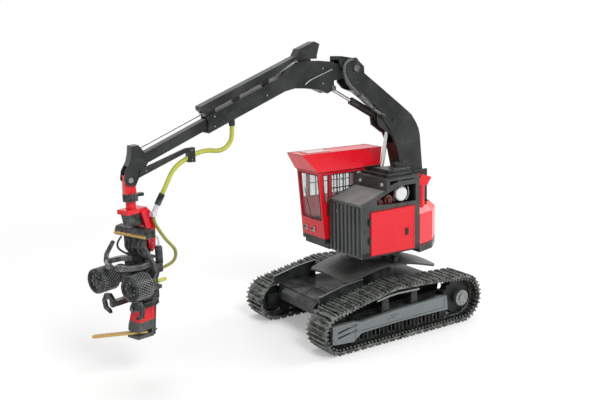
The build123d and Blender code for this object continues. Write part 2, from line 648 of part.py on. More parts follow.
window_low_x, window_high_x, window_low_z, window_high_z = side_window
with BuildPart() as cab_shell:
    side_slab(cab_outline, cab_far_y, cab_near_y)
    side_slab(cab_inside, cab_far_y + cab_wall, cab_near_y - cab_wall, Mode.SUBTRACT)
    block((12.0, 25.0), (cab_far_y + 1.4, cab_near_y - 1.4), front_window_z, Mode.SUBTRACT)
    for y_a, y_b in ((cab_near_y - 2, cab_near_y + 1), (cab_far_y - 1, cab_far_y + 2)):
        side_slab(quarter_window, y_a, y_b, Mode.SUBTRACT)
        block((window_low_x, window_high_x), (y_a, y_b), (window_low_z, window_high_z), Mode.SUBTRACT)
    block((-16.0, -12.0), (cab_far_y + 2, cab_near_y - 2), rear_window_z, Mode.SUBTRACT)
cab_shell.part.label = "cab_shell"
export_step(cab_shell.part, "parts/cab_shell.step")

front_lean = (cab_inside[1][0] - cab_inside[0][0]) / (cab_inside[1][1] - cab_inside[0][1])
glass_low = front_window_z[0] - 0.5
glass_high = front_window_z[1] + 0.5
glass_front = [cab_inside[0][0] + front_lean * (z - cab_inside[0][1]) for z in (glass_low, glass_high)]
with BuildPart() as cab_glass:
    side_slab([(glass_front[0], glass_low), (glass_front[1], glass_high), (glass_front[1] - glass, glass_high),
               (glass_front[0] - glass, glass_low)], cab_far_y + cab_wall + 0.4, cab_near_y - cab_wall - 0.4)
    for y_a, y_b in ((cab_near_y - cab_wall - glass, cab_near_y - cab_wall),
                     (cab_far_y + cab_wall, cab_far_y + cab_wall + glass)):
        block((window_low_x - 0.4, 17.0), (y_a, y_b), (window_low_z - 0.4, window_high_z + 0.4))
    block((cab_inside[3][0], cab_inside[3][0] + glass), (cab_far_y + 1.6, cab_near_y - 1.6),
          (rear_window_z[0] - 0.4, rear_window_z[1] + 0.4))
cab_glass.part.label = "cab_glass"
export_step(cab_glass.part, "parts/cab_glass.step")

# Guard bars in both side windows and behind the windscreen
with BuildPart() as window_bars:
    for y_a in (cab_near_y - cab_wall, cab_far_y):
        for k in range(guard_bars):
            x = window_low_x + (window_high_x - window_low_x) * (k + 1) / (guard_bars + 1)
            block((x - guard_bar / 2, x + guard_bar / 2), (y_a + 0.2, y_a + cab_wall - 0.2),
                  (window_low_z, window_high_z))
        z = (window_low_z + window_high_z) / 2
        block((window_low_x, window_high_x), (y_a + 0.2, y_a + cab_wall - 0.2),
              (z - guard_bar / 2, z + guard_bar / 2))
window_bars.part.label = "window_bars"
export_step(window_bars.part, "parts/window_bars.step")

with BuildPart() as cab_roof:
    side_slab([(roof_low[0], roof_z[0]), (roof_high[0], roof_z[1]), (roof_high[1], roof_z[1]),
               (roof_low[1], roof_z[0])], roof_low[3], roof_low[2])
    for k in (2, 3):
        slab(front, [(roof_low[k], roof_z[0]), (roof_high[k], roof_z[1]), (roof_low[k], roof_z[1])],
             roof_high[1] - 1, roof_high[0] + 1, Mode.SUBTRACT)
cab_roof.part.label = "cab_roof"
export_step(cab_roof.part, "parts/cab_roof.step")

with BuildPart() as cab_seat:
    block((-6.0, 1.0), (-12.8, -5.4), (cab_inside[0][1], 49.6))
    block((-8.0, -6.0), (-12.8, -5.4), (cab_inside[0][1], 62.0))
    block((7.0, 13.0), (-15.4, -2.8), (cab_inside[0][1], 50.4))
cab_seat.part.label = "cab_seat"
export_step(cab_seat.part, "parts/cab_seat.step")

outer_lean = (cab_outline[1][0] - cab_outline[0][0]) / (cab_outline[1][1] - cab_outline[0][1])
with BuildPart() as cab_lamps:
    for y in lamp_ys:
        low_z = lamp_z - lamp_size / 2
        high_z = lamp_z + lamp_size / 2
        x_low = cab_outline[0][0] + outer_lean * (low_z - cab_outline[0][1])
        x_high = cab_outline[0][0] + outer_lean * (high_z - cab_outline[0][1])
        side_slab([(x_low, low_z), (x_high, high_z), (x_high + 0.6, high_z), (x_high + 0.6, low_z)],
                  y - lamp_size / 2, y + lamp_size / 2)
cab_lamps.part.label = "cab_lamps"
export_step(cab_lamps.part, "parts/cab_lamps.step")

with BuildPart() as exhaust_stack:
    disc(floor, pipe_centre, pipe_radius, weight_top_z, 68.0)
    side_slab(pipe_flare, pipe_centre[1] - pipe_radius, pipe_centre[1] + pipe_radius)
exhaust_stack.part.label = "exhaust_stack"
export_step(exhaust_stack.part, "parts/exhaust_stack.step")

# Boom with its foot, the knuckle's fork and the crowd cylinder's lug
with BuildPart() as main_boom:
    side_slab(boom_outline, boom_y - boom_half, boom_y + boom_half)
    side_disc(boom_pin, boom_foot_radius, boom_y - boom_half, boom_y + boom_half)
    side_disc(boom_pin, boom_pin_radius + pin_play, boom_y - 9, boom_y + 9, Mode.SUBTRACT)
    side_slab(knuckle_slot, boom_y - knuckle_half - slide_play, boom_y + knuckle_half + slide_play,
              Mode.SUBTRACT)
    side_slab(crowd_lug, boom_y - 3.4, boom_y + 3.4)
    side_slab(crowd_slot, boom_y - 2.3, boom_y + 2.3, Mode.SUBTRACT)
    side_disc(knuckle_pin, boom_pin_radius, boom_y - boom_half - 0.6, boom_y + boom_half + 0.6)
    side_disc(crowd_foot, foot_pin_radius, boom_y - 3.2, boom_y + 3.2)
    block((7.0, boom_hose_route[0][0]), (boom_y + boom_half - 0.2, boom_hose_y + 0.9), (124.6, 126.2))
    ferrule_end = along(boom_hose_route[-2], boom_hose_route[-1],
                        hypot(boom_hose_route[-1][0] - boom_hose_route[-2][0],
                              boom_hose_route[-1][1] - boom_hose_route[-2][1]) + 2.4)
    bar_between(boom_hose_route[-1], ferrule_end, boom_hose_y, boom_hose_radius + 0.3)
main_boom.part.label = "main_boom"
export_step(main_boom.part, "parts/main_boom.step")

# Stick: knuckle tongue and hollow box
barrel_rear = slide_back(rod_end, barrel_span[1])
barrel_front = slide_back(rod_end, barrel_span[0])
with BuildPart() as stick_beam:
    side_disc(knuckle_pin, knuckle_radius, boom_y - knuckle_half, boom_y + knuckle_half)
    side_slab(stick_heel, boom_y - knuckle_half, boom_y + knuckle_half)
    side_slab(stick_top + stick_low, boom_y - stick_half, boom_y + stick_half)
    side_slab(stick_cavity, boom_y - extension_half - slide_play, boom_y + extension_half + slide_play,
              Mode.SUBTRACT)
    side_disc(knuckle_pin, boom_pin_radius + pin_play, boom_y - 9, boom_y + 9, Mode.SUBTRACT)
    side_slab(crowd_fork, boom_y - 1.3, boom_y + 1.3, Mode.SUBTRACT)
    bar_between(barrel_rear, barrel_front, boom_y, barrel_radius + pin_play, Mode.SUBTRACT)
    disc(floor, (supply_route[0][0], supply_y), 1.3, supply_route[0][1],
         level(stick_low[-2:], supply_route[0][0] - 1.3) + 0.6)
stick_beam.part.label = "stick_beam"
export_step(stick_beam.part, "parts/stick_beam.step")

# Cover over the extension ram, on feet that leave a gap above the stick
with BuildPart() as ram_housing:
    side_slab(ram_low + ram_top, boom_y - ram_half, boom_y + ram_half)
    for x_front, x_rear in ram_feet:
        side_slab([(x_front, level(stick_top, x_front)), (x_front, level(ram_low, x_front) + 0.3),
                   (x_rear, level(ram_low, x_rear) + 0.3), (x_rear, level(stick_top, x_rear))],
                  boom_y - 1.9, boom_y + 1.9)
    bar_between(slide_back(rod_end, barrel_span[1] + 1), slide_back(rod_end, 22.0), boom_y,
                barrel_radius + pin_play, Mode.SUBTRACT)
ram_housing.part.label = "ram_housing"
export_step(ram_housing.part, "parts/ram_housing.step")

with BuildPart() as ram_barrel:
    bar_between(barrel_rear, barrel_front, boom_y, barrel_radius)
    bar_between(slide_back(rod_end, barrel_span[1] - 1.2), slide_back(rod_end, barrel_span[0] - 1), boom_y,
                rod_radius + turn_play, Mode.SUBTRACT)
ram_barrel.part.label = "ram_barrel"
export_step(ram_barrel.part, "parts/ram_barrel.step")

# Extension with its forked tip and the hose guide beside it
fork_cut = around(hanger_pin, [(-13.0, 5.4), (7.0, 5.4), (7.0, -5.0), (-13.0, -5.0)])
yoke_half = 1.6
with BuildPart() as extension_beam:
    side_slab([slide_back(extension_top, extension_length), extension_top, extension_low,
               slide_back(extension_low, extension_length)], boom_y - extension_half, boom_y + extension_half)
    side_slab(tip_outline, boom_y - tip_half, boom_y + tip_half)
    side_slab(fork_cut, boom_y - yoke_half - slide_play, boom_y + yoke_half + slide_play, Mode.SUBTRACT)
    side_slab(guide_arm, boom_y + tip_half - 0.6, boom_y + tip_half + 0.6)
    side_slab(guide_clamp, guide_y[0], guide_y[1])
    bar_between(supply_route[6], supply_route[7], supply_y, supply_radius + 0.15, Mode.SUBTRACT)
    side_disc(hanger_pin, hanger_pin_radius + pin_play, boom_y - 5, boom_y + 5, Mode.SUBTRACT)
    bar_between(slide_back(rod_end, 6.0), rod_end, boom_y, rod_radius, Mode.SUBTRACT)
extension_beam.part.label = "extension_beam"
export_step(extension_beam.part, "parts/extension_beam.step")

with BuildPart() as extension_rod:
    bar_between(slide_back(rod_end, rod_length), rod_end, boom_y, rod_radius)
extension_rod.part.label = "extension_rod"
export_step(extension_rod.part, "parts/extension_rod.step")

with BuildPart() as tip_pin:
    side_disc(hanger_pin, hanger_pin_radius, boom_y - tip_half - 0.6, boom_y + tip_half + 0.6)
tip_pin.part.label = "tip_pin"
export_step(tip_pin.part, "parts/tip_pin.step")

# Cylinders with an eye at each end
cylinders = []
for foot, eye, barrel_run, radii in ((lift_foot, lift_eye, lift_barrel_length, lift_radii),
                                     (crowd_foot, crowd_eye, crowd_barrel_length, crowd_radii)):
    gland = along(foot, eye, barrel_run)
    with BuildPart() as barrel:
        side_disc(foot, radii[0], boom_y - 1.6, boom_y + 1.6)
        bar_between(along(foot, eye, 1.0), gland, boom_y, radii[0])
        side_disc(foot, foot_pin_radius + pin_play, boom_y - 5, boom_y + 5, Mode.SUBTRACT)
        bar_between(along(foot, eye, 4.0), along(foot, eye, barrel_run + 1), boom_y, radii[1] + turn_play,
                    Mode.SUBTRACT)
    with BuildPart() as rod:
        bar_between(along(foot, eye, barrel_run - rod_hidden), eye, boom_y, radii[1])
        side_disc(eye, eye_radius, boom_y - 1.1, boom_y + 1.1)
        side_disc(eye, eye_bore, boom_y - 5, boom_y + 5, Mode.SUBTRACT)
    cylinders.append((barrel, rod))
lift_barrel, lift_rod = cylinders[0]
crowd_barrel, crowd_rod = cylinders[1]
lift_barrel.part.label = "lift_barrel"
export_step(lift_barrel.part, "parts/lift_barrel.step")
lift_rod.part.label = "lift_rod"
export_step(lift_rod.part, "parts/lift_rod.step")
crowd_barrel.part.label = "crowd_barrel"
export_step(crowd_barrel.part, "parts/crowd_barrel.step")
crowd_rod.part.label = "crowd_rod"
export_step(crowd_rod.part, "parts/crowd_rod.step")

# Hanger below the tip, the rotator's collar and the head's carrier
with BuildPart() as hanger_yoke:
    side_slab([(hanger_pin[0] - 2.0, hanger_pin[1] + 1.8), (hanger_pin[0] + 2.0, hanger_pin[1] + 1.8),
               (hanger_pin[0] + 2.2, collar_z[1]), (hanger_pin[0] - 2.4, collar_z[1])],
              boom_y - yoke_half, boom_y + yoke_half)
    side_disc(hanger_pin, hanger_pin_radius + pin_play, boom_y - 5, boom_y + 5, Mode.SUBTRACT)
hanger_yoke.part.label = "hanger_yoke"
export_step(hanger_yoke.part, "parts/hanger_yoke.step")

with BuildPart() as rotator_collar:
    disc(floor, (rotor_x, boom_y), 3.0, collar_z[0], collar_z[1])
    block((rotor_x - 5.2, rotor_x - 1.0), (boom_y - 1.2, boom_y + 1.2), (collar_z[1] - 1.2, collar_z[1]))
rotator_collar.part.label = "rotator_collar"
export_step(rotator_collar.part, "parts/rotator_collar.step")

with BuildPart() as head_bracket:
    disc(head_floor, (0, 0), neck_radius, plate_z[1], collar_z[0] - turn_play)
    slab(head_floor, [(plate_u[1], -plate_half), (plate_u[1], plate_half), (plate_u[0], plate_half),
                      (plate_u[0], -plate_half)], plate_z[0], plate_z[1])
    for v_low, v_high in (carrier_v, (-carrier_v[1], -carrier_v[0])):
        slab(head_side, carrier_arm, -v_high, -v_low)
    slab(head_side, carrier_web, -carrier_v[1], carrier_v[1])
    disc(head_side, tilt_pin, tilt_pin_radius, -carrier_v[1] - 0.6, carrier_v[1] + 0.6)
head_bracket.part.label = "head_bracket"
export_step(head_bracket.part, "parts/head_bracket.step")

# Black block under the plate, and the collar on the end of the supply hose
collar_start = supply_route[-1]
collar_end = along(supply_route[-2], collar_start, hypot(collar_start[0] - supply_route[-2][0],
                                                         collar_start[1] - supply_route[-2][1])
                   + collar_length)
fitting_end = along(collar_start, collar_end, collar_length + fitting_length)
with BuildPart() as carrier_fittings:
    slab(head_side, [(-3.6, plate_z[0]), (3.4, plate_z[0]), (2.2, 65.0), (-2.6, 65.0)], -2.4, 2.4)
    bar_between(collar_start, collar_end, supply_y, supply_radius + 0.35)
carrier_fittings.part.label = "carrier_fittings"
export_step(carrier_fittings.part, "parts/carrier_fittings.step")

with BuildPart() as hose_fitting:
    bar_between(collar_end, fitting_end, supply_y, supply_radius + 0.05)
    slab(head_floor, [(-8.2, carrier_v[1]), (-5.9, carrier_v[1]), (-5.9, 5.7), (-8.2, 5.7)],
         head_hose_route[0][1], head_hose_route[0][1] + 2.0)
hose_fitting.part.label = "hose_fitting"
export_step(hose_fitting.part, "parts/hose_fitting.step")

# Head body: top bar, spine, pivot plates, motors and the low fork
hose_end = head_hose_route[-1]
hose_seat = along(head_hose_route[-2], hose_end, hypot(hose_end[0] - head_hose_route[-2][0],
                                                       hose_end[1] - head_hose_route[-2][1]) + 4.0)
spine_half = carrier_v[0] - slide_play
with BuildPart() as head_frame:
    slab(head_side, [(-3.4, 60.4), (-3.4, 63.2), (-2.2, 64.2), (0.6, 63.8), (1.4, 62.2), (1.4, 60.4)],
         -9.2, 9.2)
    slab(head_side, [(-8.0, 55.2), (-7.2, 57.6), (-3.4, 61.0), (0.8, 61.0), (0.8, 56.0), (-1.6, 53.0),
                     (-1.6, 35.0), (-4.0, 34.2), (-6.4, 36.0), (-6.4, 53.0)], -spine_half, spine_half)
    disc(head_side, tilt_pin, tilt_pin_radius + pin_play, -6, 6, Mode.SUBTRACT)
    slab(head_floor, [(-6.0, -6.4), (-2.4, -6.4), (-2.4, 6.4), (-6.0, 6.4)], 35.0, 39.0)
    slab(head_floor, [(-6.4, -7.8), (-2.0, -7.8), (-2.0, 7.8), (-6.4, 7.8)], 39.0, 40.4)
    slab(head_floor, [(-7.0, -8.4), (-1.8, -8.4), (-1.8, 8.4), (-7.0, 8.4)], 45.8, 49.2)
    slab(head_floor, [(-5.2, -6.6), (-1.8, -6.6), (-1.8, 6.6), (-5.2, 6.6)], 51.6, 52.6)
    slab(head_side, [(0.8, 60.6), (0.8, 56.0), (-1.0, 53.0), (-2.6, 53.0), (-2.6, 60.6)], -4.6, 4.6)
    for hand in (1, -1):
        disc(head_floor, (arm_pivot[0], hand * arm_pivot[1]), head_pin_radius, 40.0, 46.2)
        disc(head_floor, (knife_pivot[0], hand * knife_pivot[1]), head_pin_radius, 49.0, 52.0)
        disc(head_floor, (-6.6, hand * 6.9), 1.5, 49.0, 55.6)
        low, high = sorted((hand * 4.6, hand * 7.2))
        slab(head_floor, [(-4.0, low), (6.4, low), (6.4, high), (-4.0, high)], fork_z[0], fork_z[1])
        disc(head_front, (hand * claw_pivot[0], claw_pivot[1]), head_pin_radius, 5.6, claw_u[1] + 0.2)
    slab(head_floor, [(-5.6, -6.4), (-2.4, -6.4), (-2.4, 6.4), (-5.6, 6.4)], fork_z[0], 35.4)
    bar_between(hose_end, hose_seat, head_hose_y, head_hose_radius + 0.35)
head_frame.part.label = "head_frame"
export_step(head_frame.part, "parts/head_frame.step")

with BuildPart() as head_strip:
    slab(head_side, [(1.4, 60.6), (1.4, 61.9), (2.1, 61.6), (2.1, 60.9)], -9.0, 9.0)
head_strip.part.label = "head_strip"
export_step(head_strip.part, "parts/head_strip.step")

with BuildPart() as hose_stub:
    disc(head_front, (5.2, 41.2), 0.75, -10.8, -6.4)
    disc(head_front, (5.2, 41.2), 0.45, -11.2, -8.0, Mode.SUBTRACT)
hose_stub.part.label = "hose_stub"
export_step(hose_stub.part, "parts/hose_stub.step")

# Saw box, its lower guard with the bar's slot, and the bar
box_outline = [(-6.2, fork_z[0]), (-0.4, fork_z[0]), (2.6, 24.0), (3.4, 19.0), (-4.8, 18.4), (-5.6, 24.0)]
with BuildPart() as saw_box:
    slab(head_side, box_outline, -box_v[1], -box_v[0])
    slab(head_floor, [(-12, -12), (12, -12), (12, 12), (-12, 12)], 15.0, box_split_z, Mode.SUBTRACT)
saw_box.part.label = "saw_box"
export_step(saw_box.part, "parts/saw_box.step")

bar_centre = (bar_z[0] + bar_z[1]) / 2
with BuildPart() as saw_guard:
    slab(head_side, box_outline, -box_v[1], -box_v[0])
    slab(head_floor, [(-12, -12), (12, -12), (12, 12), (-12, 12)], box_split_z, 40.0, Mode.SUBTRACT)
    slab(head_floor, [(-3.9, -9.0), (9.0, -9.0), (9.0, 9.0), (-3.9, 9.0)], bar_z[0] - 0.4, bar_z[1] + 0.4,
         Mode.SUBTRACT)
    disc(head_floor, saw_pivot, 0.84, bar_z[0] - 0.8, bar_z[1] + 0.8)
saw_guard.part.label = "saw_guard"
export_step(saw_guard.part, "parts/saw_guard.step")

bar_plane = Plane(origin=head_floor.from_local_coords((saw_pivot[0], saw_pivot[1], 0)),
                  x_dir=head_axis * cos(radians(bar_angle)) + head_left * sin(radians(bar_angle)),
                  z_dir=(0, 0, 1))
with BuildPart() as saw_bar:
    slab(bar_plane, [(-1.6, -1.2), (bar_length - 0.8, -1.1), (bar_length, -0.5), (bar_length, 0.5),
                     (bar_length - 0.8, 1.1), (-1.6, 1.2)], bar_z[0], bar_z[1])
    disc(bar_plane, (0, 0), 0.84 + pin_play, bar_z[0] - 1, bar_z[1] + 1, Mode.SUBTRACT)
saw_bar.part.label = "saw_bar"
export_step(saw_bar.part, "parts/saw_bar.step")

# Feed arms, rollers, upper knives and low claws, left and right
roller_back_u = roller_front_u - roller_length
motor_u = (roller_back_u - 2.2, roller_back_u - turn_play)
knife_blade = [(-4.6, 5.2), (-3.6, 7.0), (0.6, 9.0), (4.8, 9.6), (8.2, 8.0), (10.8, 4.8), (11.2, 1.4),
               (9.9, 1.5), (9.6, 4.2), (7.6, 6.6), (4.6, 8.0), (1.0, 7.2), (-1.6, 4.6)]
claw_blade = [(-5.0, 35.2), (-7.2, 37.6), (-10.2, 37.4), (-12.0, 34.2), (-11.2, 30.9), (-7.6, 29.4),
              (-8.0, 30.8), (-10.0, 31.8), (-10.4, 34.0), (-9.2, 35.6), (-7.6, 35.4), (-6.6, 32.6)]
side_sets = []
for hand in (1, -1):
    pivot = (arm_pivot[0], hand * arm_pivot[1])
    wheel_v = hand * roller_gap_v
    with BuildPart() as feed_arm:
        disc(head_floor, pivot, 1.6, arm_z[0], arm_z[1])
        slab(head_floor, [(-4.8, hand * 6.8), (-2.6, hand * 5.2), (motor_u[1], wheel_v - hand * 2.4),
                          (motor_u[1], wheel_v + hand * 2.4), (motor_u[0], wheel_v + hand * 2.4)],
             arm_z[0] + 0.4, arm_z[1] - 0.4)
        disc(head_front, (wheel_v, feed_z), 3.2, motor_u[0], motor_u[1])
        disc(head_front, (wheel_v, feed_z), shaft_radius, motor_u[1], roller_front_u - 2.0)
        disc(head_floor, pivot, head_pin_radius + pin_play, 30, 60, Mode.SUBTRACT)
        slab(head_front, [(hand * 13.0, 45.4), (hand * 15.4, 48.6), (hand * 14.6, 52.0), (hand * 9.8, 58.0),
                          (hand * 8.6, 57.4), (hand * 13.2, 51.4), (hand * 13.4, 49.0), (hand * 11.6, 46.0)],
             motor_u[0] + 0.4, motor_u[0] + 1.5)
    with BuildPart() as feed_roller:
        disc(head_front, (wheel_v, feed_z), feed_radius, roller_back_u, roller_front_u)
        disc(head_front, (wheel_v, feed_z), feed_radius - 1.2, roller_front_u - 0.8, roller_front_u + 1,
             Mode.SUBTRACT)
        disc(head_front, (wheel_v, feed_z), shaft_radius + pin_play, roller_back_u - 1, roller_front_u - 1.9,
             Mode.SUBTRACT)
    with BuildPart() as knife:
        slab(head_floor, [(u, hand * v) for u, v in knife_blade], knife_z[0], knife_z[1])
        disc(head_floor, (knife_pivot[0], hand * knife_pivot[1]), 1.6, knife_z[0], knife_z[1])
        disc(head_floor, (knife_pivot[0], hand * knife_pivot[1]), head_pin_radius + pin_play, 40, 60,
             Mode.SUBTRACT)
    with BuildPart() as claw:
        slab(head_front, [(-hand * v, z) for v, z in claw_blade], claw_u[0], claw_u[1])
        disc(head_front, (hand * claw_pivot[0], claw_pivot[1]), 1.5, claw_u[0], claw_u[1])
        disc(head_front, (hand * claw_pivot[0], claw_pivot[1]), head_pin_radius + pin_play, 0, 20,
             Mode.SUBTRACT)
    side_sets.append((feed_arm, feed_roller, knife, claw))
feed_arm_left, feed_roller_left, knife_left, claw_left = side_sets[0]
feed_arm_right, feed_roller_right, knife_right, claw_right = side_sets[1]
feed_arm_left.part.label = "feed_arm_left"
export_step(feed_arm_left.part, "parts/feed_arm_left.step")
feed_arm_right.part.label = "feed_arm_right"
export_step(feed_arm_right.part, "parts/feed_arm_right.step")
feed_roller_left.part.label = "feed_roller_left"
export_step(feed_roller_left.part, "parts/feed_roller_left.step")
feed_roller_right.part.label = "feed_roller_right"
export_step(feed_roller_right.part, "parts/feed_roller_right.step")
knife_left.part.label = "knife_left"
export_step(knife_left.part, "parts/knife_left.step")
knife_right.part.label = "knife_right"
export_step(knife_right.part, "parts/knife_right.step")
claw_left.part.label = "claw_left"
export_step(claw_left.part, "parts/claw_left.step")
claw_right.part.label = "claw_right"
export_step(claw_right.part, "parts/claw_right.step")


def bend_radii(points):
    """The largest even arc at each point of a route, 0.45 of the shorter run over the half turn's tangent."""
    radii = []
    for before, here, after in zip(points, points[1:], points[2:]):
        run_in = (here[0] - before[0], here[1] - before[1])
        run_out = (after[0] - here[0], after[1] - here[1])
        lengths = (hypot(run_in[0], run_in[1]), hypot(run_out[0], run_out[1]))
        cross = run_in[0] * run_out[1] - run_in[1] * run_out[0]
        dot = run_in[0] * run_out[0] + run_in[1] * run_out[1]
        radii.append(0.45 * min(lengths) / tan(abs(atan2(cross, dot)) / 2))
    return radii


# Hoses: name, route, Y and radius
hoses = []
for label, route, y, radius in (("supply_hose", supply_route, supply_y, supply_radius),
                                ("head_hose", head_hose_route, head_hose_y, head_hose_radius),
                                ("boom_hose", boom_hose_route, boom_hose_y, boom_hose_radius)):
    radii = bend_radii(route)
    run = (route[1][0] - route[0][0], route[1][1] - route[0][1])
    with BuildPart() as hose:
        with BuildLine() as path:
            FilletPolyline([(x - frame_x, y, z) for x, z in route], radius=radii)
        with BuildSketch(Plane(origin=(route[0][0] - frame_x, y, route[0][1]), x_dir=(0, 1, 0),
                               z_dir=(run[0], 0, run[1]))):
            Circle(radius)
        sweep()
    length = path.wires()[0].length
    print(label, "length", round(length, 1), "volume share", round(hose.part.volume / (pi * radius ** 2 * length), 4),
          "radii", [round(value, 1) for value in radii])
    hoses.append(hose)
supply_hose, head_hose, boom_hose = hoses
supply_hose.part.label = "supply_hose"
export_step(supply_hose.part, "parts/supply_hose.step")
head_hose.part.label = "head_hose"
export_step(head_hose.part, "parts/head_hose.step")
boom_hose.part.label = "boom_hose"
export_step(boom_hose.part, "parts/boom_hose.step")
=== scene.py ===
from math import acos, atan2, cos, hypot, pi, radians, sin

import bpy
from mathutils import Matrix, Vector


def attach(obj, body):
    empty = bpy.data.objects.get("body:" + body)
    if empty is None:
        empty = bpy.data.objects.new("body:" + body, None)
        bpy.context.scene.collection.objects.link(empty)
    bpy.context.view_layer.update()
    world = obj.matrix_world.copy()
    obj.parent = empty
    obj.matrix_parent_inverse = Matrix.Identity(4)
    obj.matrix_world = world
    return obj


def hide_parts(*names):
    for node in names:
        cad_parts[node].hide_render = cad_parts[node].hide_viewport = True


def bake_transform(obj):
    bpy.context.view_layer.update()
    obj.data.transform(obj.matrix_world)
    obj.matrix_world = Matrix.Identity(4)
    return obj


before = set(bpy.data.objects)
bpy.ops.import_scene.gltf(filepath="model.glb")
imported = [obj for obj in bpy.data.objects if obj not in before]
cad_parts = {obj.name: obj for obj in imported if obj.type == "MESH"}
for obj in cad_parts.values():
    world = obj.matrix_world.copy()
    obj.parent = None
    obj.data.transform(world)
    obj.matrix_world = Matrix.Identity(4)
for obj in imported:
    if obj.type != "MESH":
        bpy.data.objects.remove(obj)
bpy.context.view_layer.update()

# Machine points are in millimetres: X forward from the cab's datum, Y to the left, Z up from the ground
MM = 0.001
FRAME_X = 40.5
BOOM_Y = 7.5
ROTOR_X = 112.6
HEAD_YAW = radians(20.7)
HEAD_U = Vector((cos(HEAD_YAW), sin(HEAD_YAW), 0))
HEAD_V = Vector((-sin(HEAD_YAW), cos(HEAD_YAW), 0))
UPWARD = Vector((0, 0, 1))
SIDES = ((1, "left"), (-1, "right"))


def spot(x, y, z):
    """A machine point in millimetres as a point of the frame in metres."""
    return Vector((x - FRAME_X, y, z)) * MM


def head_spot(u, v, z):
    """A point in the head's own axes as a point of the frame in metres."""
    return spot(ROTOR_X, BOOM_Y, z) + (HEAD_U * u + HEAD_V * v) * MM


def circle(count, radius, first=0.0):
    """Places spaced evenly round a circle, as pairs of offsets from its centre."""
    turns = [2 * pi * (k + first) / count for k in range(count)]
    return [(radius * cos(turn), radius * sin(turn)) for turn in turns]


def runs(points, closed=False):
    """Each point of an outline with the next, and the last with the first if it is closed."""
    return list(zip(points, points[1:] + points[:1])) if closed else list(zip(points, points[1:]))


# Camera: angles in degrees, focal length in the photograph's pixels, place in metres
CAMERA_AZIMUTH, CAMERA_ELEVATION, CAMERA_ROLL = 212.0, 11.44, -1.45
FOCAL_PIXELS, PHOTO_WIDTH, SENSOR_WIDTH = 773.4, 600, 36
CAMERA_PLACE = (0.1725, 0.2924, 0.1329)


def set_camera():
    azimuth, elevation, roll = radians(CAMERA_AZIMUTH), radians(CAMERA_ELEVATION), radians(CAMERA_ROLL)
    look = Vector((sin(azimuth) * cos(elevation), cos(azimuth) * cos(elevation), -sin(elevation)))
    level_right = Vector((cos(azimuth), -sin(azimuth), 0))
    level_up = level_right.cross(look)
    right = cos(roll) * level_right + sin(roll) * level_up
    up = cos(roll) * level_up - sin(roll) * level_right
    camera = bpy.data.objects.new("camera", bpy.data.cameras.new("camera"))
    bpy.context.collection.objects.link(camera)
    camera.data.sensor_width = SENSOR_WIDTH
    camera.data.lens = FOCAL_PIXELS / PHOTO_WIDTH * SENSOR_WIDTH
    camera.data.clip_start = 0.01
    turn = Matrix((right, up, -look)).transposed().to_4x4()
    camera.matrix_world = Matrix.Translation(CAMERA_PLACE) @ turn
    bpy.context.scene.camera = camera
    bpy.context.scene.view_settings.view_transform = "Standard"


set_camera()


class Value:
    """One output of a shader node, with the sums and products that numbers have."""

    def __init__(self, graph, socket):
        self.graph = graph
        self.socket = socket

    def math(self, operation, other):
        return self.graph.node("ShaderNodeMath", {0: self, 1: other}, operation=operation)

    def __add__(self, other):
        return self.math("ADD", other)

    def __sub__(self, other):
        return self.math("SUBTRACT", other)

    def __rsub__(self, other):
        return self.graph.node("ShaderNodeMath", {0: other, 1: self}, operation="SUBTRACT")

    def __mul__(self, other):
        return self.math("MULTIPLY", other)

    __radd__ = __add__
    __rmul__ = __mul__

    def step(self, low, high):
        return self.graph.node("ShaderNodeMapRange", {0: self, 1: low, 2: high, 3: 0.0, 4: 1.0},
                               interpolation_type="SMOOTHSTEP")


class Graph:
    """An emptied node tree that takes new nodes."""

    def __init__(self, tree):
        self.tree = tree
        self.tree.nodes.clear()

    def node(self, kind, inputs=None, out=0, **settings):
        """Adds a node with its settings and the values or links of its sockets, and gives one output."""
        item = self.tree.nodes.new(kind)
        for key, value in settings.items():
            setattr(item, key, value)
        for key, value in (inputs or {}).items():
            if isinstance(value, Value):
                self.tree.links.new(value.socket, item.inputs[key])
            else:
                item.inputs[key].default_value = value
        return Value(self, item.outputs[out]) if len(item.outputs) else None

    def mix(self, share, first, second):
        """A colour between two, each a colour or a value."""
        ends = [end if isinstance(end, Value) else (*end, 1) for end in (first, second)]
        return self.node("ShaderNodeMix", {0: share, 6: ends[0], 7: ends[1]}, 2, data_type="RGBA")

    def noise(self, scale, detail):
        place = self.node("ShaderNodeTexCoord", out=3)
        return self.node("ShaderNodeTexNoise", {"Vector": place, "Scale": scale, "Detail": detail})

    def edges(self, radius):
        """How far the surface near a point turns from its facing: 0 on a flat, up to 1 on a sharp edge."""
        rounded = self.node("ShaderNodeBevel", {"Radius": radius}, samples=4)
        facing = self.node("ShaderNodeNewGeometry", out=1)
        along = self.node("ShaderNodeVectorMath", {0: rounded, 1: facing}, 1, operation="DOT_PRODUCT")
        return (1 - along).step(0.02, 0.22)


def new_material(name):
    material = bpy.data.materials.new(name)
    material.use_nodes = True
    return material, Graph(material.node_tree)


def set_shader(graph, colour, roughness, bump, uniform, metallic=0.0, edge=0.00012):
    """The shader: what varies is linked, and what is the same all over is set on its own socket."""
    soft_edge = graph.node("ShaderNodeBevel", {"Radius": edge}, samples=4)
    normal = graph.node("ShaderNodeBump", {"Strength": 0.5, "Distance": 0.0001, "Height": bump,
                                           "Normal": soft_edge})
    inputs = {"Base Color": colour, "Roughness": roughness, "Normal": normal, "Metallic": metallic}
    inputs.update(uniform)
    shader = graph.node("ShaderNodeBsdfPrincipled", inputs)
    graph.node("ShaderNodeOutputMaterial", {"Surface": shader})


